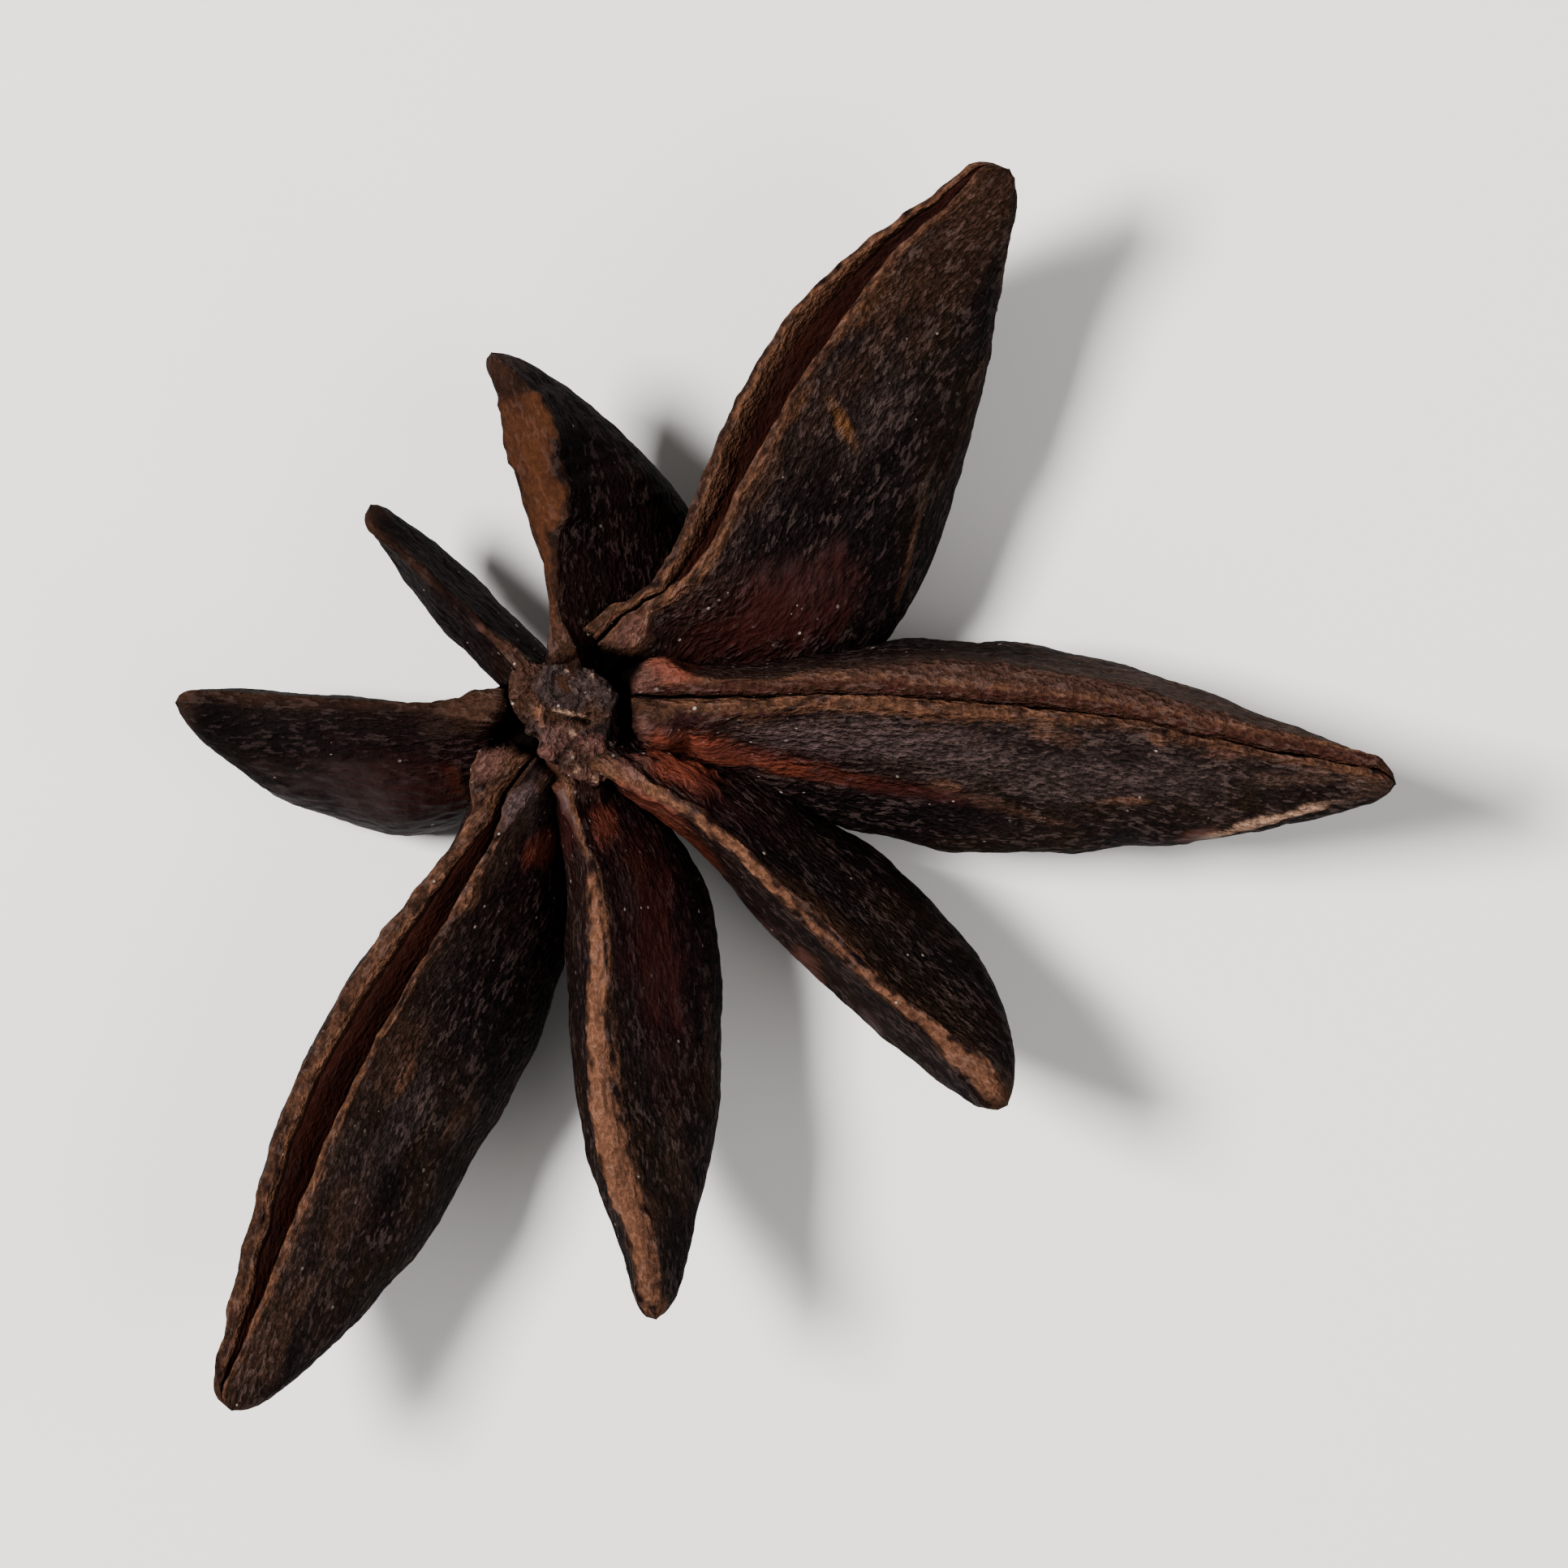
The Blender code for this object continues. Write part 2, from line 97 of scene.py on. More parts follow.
# Heading and roll are in degrees, widest, blunt, hollow, bow_late and shade are plain numbers, and
# lips are the tones of the left and the right lip. The rest is in millimetres. A follicle rolls and
# bows to the left of its heading, and its inner end drops by sink into the gap round the column.
# Shade is painted shade, deepest on the follicles that lie in shadow: it darkens the walls, and the lips
# away from the column. Band is how wide the light part of a broad right lip is.
FOLLICLES = {
    "north_east": dict(heading=52.7, length=17.6, half_width=2.5, depth=9.5, roll=-32.0, bow=1.2,
                       bow_late=1.9, hollow=0.70, widest=0.44, blunt=2.2, droop=0.6, sink=1.8,
                       lips=("umber", "tan"), shade=0.90),
    "east": dict(heading=-4.4, length=20.8, half_width=2.5, depth=8.7, roll=-14.0, bow=1.1,
                 bow_late=0.8, hollow=0.16, widest=0.50, blunt=1.7, sink=2.4, lips=("taupe", "tan"),
                 band=0.38),
    "south_east": dict(heading=-42.7, length=14.7, half_width=1.65, depth=6.9, roll=13.0, bow=0.0,
                       widest=0.66, blunt=2.6, sink=0.6, lips=("peach", "peach"), shade=0.80),
    "south": dict(heading=-83.2, length=15.4, half_width=1.85, depth=7.3, roll=18.0, bow=-0.45,
                  widest=0.45, blunt=1.9, sink=0.7, lips=("peach", "peach"), shade=0.85),
    "south_west": dict(heading=-117.0, length=19.6, half_width=2.15, depth=9.1, roll=21.0, bow=-1.45,
                       bow_late=1.0, hollow=0.70, widest=0.49, blunt=2.5, sink=2.1,
                       lips=("umber", "tan")),
    "west": dict(heading=177.0, length=10.2, half_width=1.45, depth=8.1, roll=20.0, bow=0.0,
                 widest=0.42, blunt=2.2, droop=2.3, sink=2.0, lips=("umber", "umber"), shade=0.50),
    "north": dict(heading=105.5, length=9.4, half_width=1.5, depth=7.2, roll=-34.0, bow=0.0,
                  widest=0.40, blunt=1.7, droop=1.1, sink=0.5, lips=("amber", "amber"), shade=0.50),
    "north_west": dict(heading=134.0, length=7.5, half_width=0.75, depth=4.6, roll=4.0, bow=0.0,
                       widest=0.45, blunt=2.0, droop=2.6, sink=0.5, lips=("rose", "rose"), shade=0.34),
}

# The lips along each follicle, all in millimetres but the last two: how far out, how far the middle
# lies to the left of the heading line, the gap, the width of the left and of the right lip, and how
# tan the left and the right lip are. The first row is where the lips come up beside the column. A
# follicle without a gap is shut, and its two lips are one ridge.
LIPS = {
    "north_east": [
        (1.50, 0.75, 0.05, 0.45, 0.80, 0.5, 0.7), (2.60, 0.68, 0.08, 0.40, 0.85, 0.6, 0.7),
        (3.20, 0.45, 0.08, 0.24, 0.34, 0.9, 0.9), (3.90, 0.15, 0.16, 0.34, 0.26, 0.6, 0.9),
        (4.60, 0.09, 0.46, 0.30, 0.30, 0.6, 0.8), (5.30, 0.15, 0.65, 0.30, 0.28, 0.6, 0.6),
        (6.10, 0.30, 0.71, 0.38, 0.26, 0.6, 0.5), (7.00, 0.57, 0.79, 0.38, 0.26, 0.6, 0.5),
        (8.00, 0.79, 0.96, 0.34, 0.30, 0.6, 0.9), (9.00, 0.96, 1.08, 0.33, 0.26, 0.6, 0.5),
        (10.0, 1.11, 1.16, 0.28, 0.22, 0.7, 0.4), (11.0, 1.17, 1.15, 0.28, 0.22, 0.8, 0.4),
        (12.0, 1.17, 1.04, 0.24, 0.26, 0.8, 0.9), (13.0, 1.12, 0.84, 0.22, 0.26, 0.8, 0.9),
        (14.0, 0.99, 0.62, 0.20, 0.22, 0.8, 0.5), (15.0, 0.76, 0.42, 0.19, 0.20, 0.8, 0.4),
        (16.0, 0.47, 0.32, 0.19, 0.20, 0.7, 0.4), (17.0, 0.36, 0.18, 0.18, 0.18, 0.6, 0.4),
        (17.6, 0.28, 0.05, 0.15, 0.15, 0.6, 0.4),
    ],
    "east": [
        (1.15, 0.60, 0.10, 0.80, 0.95, 0.4, 0.8), (2.10, 0.62, 0.10, 0.92, 1.05, 0.4, 0.8),
        (2.90, 0.70, 0.09, 0.50, 0.85, 0.5, 0.9), (4.30, 0.82, 0.11, 0.38, 0.50, 0.5, 1.0),
        (6.50, 1.07, 0.11, 0.62, 0.32, 0.5, 1.0), (8.00, 1.15, 0.11, 0.80, 0.40, 0.5, 0.9),
        (9.00, 1.15, 0.11, 0.95, 0.42, 0.5, 0.9), (11.0, 1.15, 0.11, 1.00, 0.38, 0.5, 0.9),
        (12.5, 1.10, 0.11, 0.95, 0.26, 0.5, 0.5), (14.0, 1.00, 0.11, 0.85, 0.20, 0.5, 0.2),
        (16.0, 0.70, 0.11, 0.70, 0.20, 0.5, 0.3), (18.0, 0.43, 0.10, 0.52, 0.20, 0.4, 0.3),
        (20.2, 0.22, 0.06, 0.35, 0.20, 0.4, 0.4), (20.8, 0.06, 0.04, 0.25, 0.20, 0.4, 0.4),
    ],
    "south_east": [
        (1.00, -0.45, 0, 0.32, 0.32, 0.3, 0.3), (2.00, -0.32, 0, 0.26, 0.26, 0.4, 0.4),
        (2.60, -0.20, 0, 0.20, 0.20, 0.5, 0.6), (3.20, 0.00, 0, 0.19, 0.19, 0.8, 0.8),
        (4.10, 0.18, 0, 0.20, 0.20, 1.0, 1.0), (5.30, 0.27, 0, 0.22, 0.22, 1.0, 1.0),
        (6.80, 0.20, 0, 0.18, 0.18, 1.0, 1.0), (8.30, 0.20, 0, 0.18, 0.18, 0.9, 0.9),
        (10.2, 0.17, 0, 0.20, 0.20, 0.9, 0.8), (12.2, 0.25, 0, 0.28, 0.28, 0.8, 0.8),
        (13.4, 0.24, 0, 0.45, 0.42, 0.7, 0.5), (14.4, 0.06, 0, 0.40, 0.38, 0.7, 0.5),
    ],
    "south": [
        (1.40, -0.50, 0, 0.40, 0.40, 0.5, 0.4), (2.30, -0.45, 0, 0.20, 0.20, 0.5, 0.4),
        (3.00, -0.26, 0, 0.13, 0.13, 0.4, 0.4), (3.90, -0.04, 0, 0.13, 0.13, 0.5, 0.5),
        (4.40, -0.03, 0, 0.21, 0.21, 1.0, 1.0), (6.00, -0.16, 0, 0.27, 0.27, 1.0, 1.0),
        (8.00, -0.38, 0, 0.35, 0.35, 0.8, 1.0), (10.0, -0.46, 0, 0.45, 0.45, 0.6, 1.0),
        (11.0, -0.34, 0, 0.50, 0.50, 0.6, 1.0), (12.0, -0.25, 0, 0.50, 0.50, 0.7, 1.0),
        (13.1, 0.05, 0, 0.42, 0.42, 0.6, 0.8), (14.1, 0.13, 0, 0.35, 0.35, 0.3, 0.6),
        (15.1, 0.03, 0, 0.25, 0.25, 0.9, 0.9),
    ],
    "south_west": [
        (1.20, -0.45, 0.08, 0.60, 0.80, 0.3, 0.42), (2.00, -0.60, 0.12, 0.70, 1.10, 0.3, 0.51),
        (2.60, -0.72, 0.16, 0.50, 0.95, 0.3, 0.51), (3.30, -0.62, 0.28, 0.25, 0.55, 0.4, 0.59),
        (4.00, -0.66, 0.44, 0.22, 0.37, 0.4, 0.59), (5.00, -0.78, 0.59, 0.22, 0.38, 0.9, 0.51),
        (6.00, -0.87, 0.74, 0.20, 0.48, 0.4, 0.51), (7.00, -0.99, 0.81, 0.20, 0.54, 0.4, 0.51),
        (8.00, -1.10, 0.86, 0.22, 0.54, 0.6, 0.51), (9.50, -1.21, 0.95, 0.22, 0.52, 0.6, 0.51),
        (11.0, -1.24, 1.00, 0.20, 0.48, 0.5, 0.51), (12.5, -1.17, 0.94, 0.22, 0.46, 0.6, 0.51),
        (14.0, -0.98, 0.82, 0.22, 0.48, 0.6, 0.42), (15.5, -0.75, 0.60, 0.22, 0.48, 0.6, 0.34),
        (17.0, -0.51, 0.34, 0.20, 0.50, 0.5, 0.34), (18.3, -0.36, 0.20, 0.20, 0.40, 0.5, 0.34),
        (19.3, -0.29, 0.06, 0.16, 0.28, 0.4, 0.34),
    ],
    "west": [
        (1.60, -0.25, 0, 0.50, 0.50, 0.2, 0.2), (2.40, -0.15, 0, 0.42, 0.42, 0.2, 0.2),
        (3.00, 0.00, 0, 0.17, 0.17, 0.3, 0.3), (4.30, 0.03, 0, 0.14, 0.14, 0.2, 0.2),
        (10.2, 0.00, 0, 0.15, 0.15, 0.3, 0.3),
    ],
    "north": [
        (1.25, 0.05, 0, 0.50, 0.50, 0.2, 0.2), (1.80, -0.05, 0, 0.34, 0.34, 0.2, 0.2),
        (2.40, -0.15, 0, 0.14, 0.14, 0.4, 0.4), (3.80, -0.39, 0, 0.13, 0.13, 0.6, 0.6),
        (4.50, -0.50, 0, 0.28, 0.34, 0.8, 0.7), (4.90, -0.62, 0, 0.42, 0.62, 0.9, 0.9),
        (5.60, -0.68, 0, 0.55, 0.78, 0.9, 0.9), (7.00, -0.76, 0, 0.76, 0.92, 0.8, 0.9),
        (8.00, -0.79, 0, 0.70, 0.75, 0.8, 0.8), (8.30, -0.70, 0, 0.50, 0.50, 0.1, 0.1),
        (9.40, -0.31, 0, 0.30, 0.30, 0.1, 0.1),
    ],
    "north_west": [
        (1.10, 0.05, 0, 0.32, 0.32, 0.2, 0.2), (2.10, 0.10, 0, 0.14, 0.14, 0.3, 0.3),
        (3.30, 0.18, 0, 0.10, 0.10, 0.2, 0.2), (5.20, 0.28, 0, 0.10, 0.10, 0.1, 0.1),
        (7.50, 0.45, 0, 0.12, 0.12, 0.1, 0.1),
    ],
}

# The husk's colours, as linear red, green and blue. Soot is painted shade, for cracks, gaps and the depths of
# hollows.
TONES = {
    "purple": (0.0044, 0.0026, 0.0027),
    "olive": (0.0100, 0.0053, 0.0032),
    "slate": (0.0085, 0.0055, 0.0052),
    "ash": (0.0230, 0.0150, 0.0138),
    "taupe": (0.0320, 0.0170, 0.0122),
    "umber": (0.0270, 0.0125, 0.0078),
    "tan": (0.0720, 0.0310, 0.0170),
    "honey": (0.0750, 0.0300, 0.0110),
    "peach": (0.1100, 0.0470, 0.0260),
    "pale": (0.2000, 0.1150, 0.0750),
    "rose": (0.0620, 0.0270, 0.0210),
    "red": (0.0230, 0.0058, 0.0048),
    "rust": (0.0600, 0.0130, 0.0065),
    "ember": (0.1450, 0.0340, 0.0195),
    "lilac": (0.0360, 0.0225, 0.0215),
    "amber": (0.0530, 0.0185, 0.0082),
    "inside": (0.0145, 0.0046, 0.0034),
    "maroon": (0.0135, 0.0042, 0.0044),
    "soot": (0.0012, 0.0008, 0.0008),
}

# The tones that lie smooth and glossy, and how much so.
GLOSSY = {"red": 1.0, "rust": 1.0, "ember": 1.0, "maroon": 0.55}

# Marks on the husk, in plan: the tone, how far east and north of the column's axis, half the length
# and half the width, all in millimetres, the turn in degrees, the strength, and how far the mark
# stands out in millimetres.
MARKS = {
    "north_east": [
        ("rose", 1.50, 2.05, 0.65, 0.45, 0, 0.5, 0.06), ("honey", 6.80, 7.30, 0.80, 0.18, -62, 0.9, 0.02),
        ("red", 5.20, 2.70, 2.00, 1.10, 25, 0.9, 0), ("red", 3.60, 1.90, 1.30, 0.45, 10, 0.6, 0),
        ("umber", 9.50, 11.6, 2.70, 1.00, 55, 0.6, 0), ("umber", 10.2, 12.9, 1.50, 0.60, 60, 0.7, 0),
        ("honey", 7.45, 10.3, 0.90, 0.22, 50, 0.6, 0), ("umber", 4.75, 6.10, 1.00, 0.45, 55, 0.8, 0.04),
        ("umber", 8.30, 11.0, 1.60, 0.45, 50, 0.7, 0), ("honey", 5.50, 7.75, 0.70, 0.20, 60, 0.6, 0),
        ("umber", 7.20, 8.90, 2.40, 0.35, 54, 0.5, 0), ("umber", 10.9, 11.8, 1.70, 0.09, 85, 0.7, 0.05),
        ("tan", 8.45, 4.10, 1.40, 0.08, 75, 0.7, 0.06), ("umber", 10.0, 7.90, 2.30, 0.09, 72, 0.8, 0.06),
        ("purple", 6.00, 5.20, 1.80, 0.70, 50, 0.6, -0.08), ("ash", 7.60, 7.40, 1.60, 0.50, 60, 0.5, 0),
    ],
    "east": [
        ("umber", 9.50, 3.20, 6.50, 0.80, -5, 0.6, 0), ("maroon", 6.80, 2.30, 2.20, 0.30, 3, 0.6, 0), ("umber", 15.5, 0.40, 3.50, 0.40, -18, 0.7, 0),
        ("ember", 2.40, 1.15, 0.65, 0.34, -10, 0.5, 0.14), ("rose", 1.75, 0.85, 0.38, 0.34, 0, 0.8, 0.05),
        ("umber", 1.95, -0.25, 0.60, 0.50, 0, 0.7, 0.10), ("rose", 1.60, -0.55, 0.34, 0.45, 0, 0.8, 0.04),
        ("maroon", 3.00, -0.40, 0.90, 0.22, -3, 0.8, -0.04), ("rust", 2.45, -0.80, 0.60, 0.34, -10, 0.9, 0.04),
        ("ember", 3.35, -0.80, 0.95, 0.40, -14, 1.0, 0.08), ("ember", 4.70, -1.12, 1.50, 0.30, -12, 0.6, 0.03),
        ("maroon", 5.20, -1.00, 1.80, 0.30, -4, 0.6, 0), ("lilac", 7.20, -0.60, 3.40, 0.46, -3, 0.8, 0),
        ("rust", 6.60, -1.52, 2.40, 0.24, -9, 0.7, 0.03), ("red", 8.30, -1.85, 1.90, 0.26, -9, 0.8, 0),
        # The purple mark low on the wall, at 7 mm east, is painted shade where the wall turns steeply down.
        ("purple", 7.00, -2.40, 3.20, 0.55, -9, 0.8, -0.05), ("ash", 12.0, -1.50, 4.50, 0.65, -4, 0.7, 0),
        ("umber", 10.9, -2.35, 1.30, 0.15, -17, 0.8, 0.03), ("tan", 14.0, -2.18, 0.75, 0.10, 2, 0.6, 0.03),
        ("umber", 12.4, -0.65, 0.35, 0.22, 0, 0.8, 0.03), ("tan", 14.72, -0.60, 0.28, 0.22, -30, 0.8, 0.03),
        ("tan", 11.85, -0.35, 0.40, 0.25, 20, 0.7, 0.03), ("rose", 16.4, -0.95, 0.50, 0.14, 0, 0.7, 0),
        ("taupe", 18.3, -1.60, 1.20, 0.25, 2, 0.7, 0), ("rust", 15.8, -3.05, 0.60, 0.16, 10, 0.8, 0),
        ("pale", 16.9, -2.84, 1.00, 0.08, 13, 0.9, 0.05), ("pale", 18.1, -2.50, 1.10, 0.11, 14, 1.0, 0.05),
        ("taupe", 20.2, -1.55, 0.80, 0.50, 0, 0.8, 0), ("tan", 9.30, -1.80, 0.50, 0.12, -8, 0.6, 0.02),
    ],
    "south_east": [
        # The thin soot line that sinks in near the root is painted shade in a crevice.
        ("ember", 2.60, -1.58, 1.05, 0.38, -22, 1.0, 0.26), ("soot", 2.30, -1.02, 1.05, 0.09, -14, 0.7, -0.12),
        ("rose", 1.50, -1.45, 0.42, 0.30, -30, 0.8, 0.10), ("ember", 1.95, -2.35, 1.10, 0.26, -38, 0.55, 0.08),
        ("maroon", 4.00, -2.60, 1.40, 0.50, -30, 0.7, 0), ("peach", 2.15, -1.95, 0.50, 0.09, -42, 0.6, 0.05),
        ("rust", 3.10, -3.45, 0.80, 0.22, -42, 0.7, 0.03), ("red", 4.60, -5.40, 0.60, 0.30, -40, 0.9, 0),
        ("rust", 5.85, -6.40, 0.50, 0.28, -50, 0.7, 0.05), ("olive", 7.80, -6.30, 2.60, 0.45, -42, 0.8, 0),
        ("umber", 10.9, -9.70, 1.00, 0.45, -62, 0.7, 0), ("red", 7.50, -7.80, 0.45, 0.14, -50, 0.7, 0),
        ("umber", 6.20, -4.90, 1.60, 0.20, -42, 0.7, 0.03), ("purple", 4.60, -3.30, 1.40, 0.40, -35, 0.7, -0.04),
    ],
    "south": [
        ("rose", 0.35, -1.90, 0.40, 0.28, -70, 0.7, 0.08),
        ("ember", 0.72, -2.72, 0.55, 0.36, -75, 0.6, 0.15), ("rust", 1.60, -3.85, 0.50, 0.36, -60, 0.8, 0.06),
        ("maroon", 2.00, -6.20, 3.40, 1.00, -83, 0.9, 0), ("red", -0.25, -2.80, 0.90, 0.25, -85, 0.8, 0),
        ("red", 1.95, -5.60, 2.40, 0.55, -83, 0.9, 0),
        ("olive", 1.50, -10.3, 1.30, 0.40, -75, 0.8, 0), ("taupe", 2.60, -11.2, 1.20, 0.30, -80, 0.4, 0), ("peach", 1.85, -14.95, 0.45, 0.35, -80, 0.9, 0),
        ("umber", 1.75, -12.6, 0.70, 0.45, -70, 0.7, 0), ("umber", 3.30, -8.50, 1.60, 0.12, -88, 0.6, 0.04),
        ("ash", 1.35, -4.60, 0.90, 0.20, -80, 0.5, 0.03), ("rose", 1.60, -13.4, 0.50, 0.14, -78, 0.6, 0.02),
    ],
    "south_west": [
        ("ember", -0.95, -3.30, 0.60, 0.36, -117, 0.6, 0.05), ("peach", -2.62, -4.62, 0.36, 0.14, 62, 0.9, 0.04),
        ("umber", -4.60, -8.70, 1.50, 0.50, 60, 0.8, 0), ("umber", -5.90, -12.6, 1.30, 0.45, 62, 0.8, 0),
        ("umber", -7.60, -15.7, 1.50, 0.50, 62, 0.7, 0), ("lilac", -1.30, -2.50, 0.65, 0.42, 60, 0.9, 0.08),
        ("umber", -3.00, -10.3, 0.90, 0.22, 55, 0.7, 0), ("rose", -2.20, -1.20, 0.60, 0.35, 62, 0.6, 0.06),
        ("ash", -4.60, -10.6, 2.60, 0.40, 60, 0.5, 0), ("taupe", -6.70, -14.5, 1.40, 0.12, 60, 0.7, 0.02),
        ("purple", -2.60, -7.30, 2.00, 0.50, 62, 0.6, -0.05), ("taupe", -1.75, -3.50, 0.85, 0.26, 63, 0.8, 0), ("tan", -4.30, -9.20, 0.45, 0.12, 66, 0.6, 0.02),
    ],
    "west": [
        ("rust", -3.10, -1.85, 0.75, 0.30, -72, 0.9, 0), ("red", -4.40, -2.10, 1.70, 0.60, -8, 0.8, 0),
        ("red", -4.80, -2.20, 3.20, 1.20, -8, 0.6, 0),
        ("umber", -2.60, 0.05, 0.85, 0.55, 10, 0.9, 0.12), ("taupe", -3.40, -0.25, 0.50, 0.40, 0, 0.6, 0.06),
    ],
    "north": [
        ("umber", -0.45, 1.90, 0.60, 0.55, 90, 0.7, 0.10), ("slate", -2.10, 8.60, 0.70, 0.70, 105, 0.7, 0),
        ("pale", -0.50, 5.00, 0.08, 0.07, 0, 0.9, 0.04), ("purple", -0.10, 5.60, 2.00, 0.60, 105, 0.6, 0),
    ],
    "north_west": [
        ("umber", -1.55, 1.35, 0.65, 0.45, 134, 0.8, 0.10), ("rose", -2.40, 2.20, 0.12, 0.09, 134, 0.5, 0.06),
        ("rose", -3.85, 3.50, 0.12, 0.09, 134, 0.5, 0.05),
    ],
}

# Marks on top of the column: the same, and how far the mark stands up in millimetres. The small pale dots are
# painted glints, and the dark marks that sink in are painted shade in its cracks and gaps.
COLUMN_MARKS = [
    ("ash", 0.10, 0.66, 1.20, 0.62, 0, 0.9, -0.05), ("pale", -0.12, 0.03, 0.50, 0.06, -11, 0.7, 0.10),
    ("soot", 0.15, -0.16, 0.36, 0.06, -12, 0.9, -0.12), ("peach", -0.93, 0.06, 0.30, 0.15, -78, 1.0, 0.14),
    ("rose", -0.35, -0.60, 0.50, 0.40, 0, 0.5, 0.08), ("rose", 0.50, -0.85, 0.40, 0.25, -50, 0.7, 0.12),
    ("rose", 0.60, -1.65, 0.65, 0.28, -8, 0.9, 0.04), ("umber", -1.50, 0.85, 0.50, 0.40, 30, 0.7, 0.08),
    ("pale", -0.08, -0.46, 0.08, 0.07, 0, 0.9, 0.06), ("pale", 0.05, -1.43, 0.11, 0.09, 0, 1.0, 0.07),
    ("pale", 0.50, -1.60, 0.08, 0.07, 0, 0.9, 0.06), ("soot", 0.90, -0.55, 0.45, 0.10, 80, 0.8, -0.10),
    ("soot", -0.10, -1.70, 0.45, 0.08, -30, 0.8, -0.10), ("umber", 0.05, -1.20, 0.55, 0.35, -20, 0.6, 0.06),
    ("soot", -0.60, 0.38, 0.60, 0.06, 20, 0.7, -0.09), ("pale", -0.20, 1.12, 0.07, 0.06, 0, 0.8, 0.05),
    ("rose", -0.70, -0.95, 0.26, 0.20, 40, 0.8, 0.08), ("soot", -0.25, -0.90, 0.40, 0.06, 50, 0.7, -0.09),
    ("pale", 0.45, 1.00, 0.06, 0.06, 0, 0.8, 0.05), ("rose", 1.05, -1.30, 0.30, 0.16, -30, 0.8, 0.08),
]


def smoothstep(value):
    value = min(1.0, max(0.0, value))
    return value * value * (3.0 - 2.0 * value)


def blend(first, second, share):
    return tuple(a + (b - a) * share for a, b in zip(first, second))


def row_at(rows, place):
    """The rest of a table's row at a place between its rows."""
    if place <= rows[0][0]:
        return rows[0][1:]
    for row, after in zip(rows, rows[1:]):
        if place <= after[0]:
            return blend(row[1:], after[1:], smoothstep((place - row[0]) / (after[0] - row[0])))
    return rows[-1][1:]


def swell(t, widest, blunt):
    """0 at the column, 1 where the follicle is widest, 0 at the tip."""
    if t < widest:
        return math.sin(0.5 * math.pi * t / widest) ** 1.35
    return 1.0 - ((t - widest) / (1.0 - widest)) ** blunt


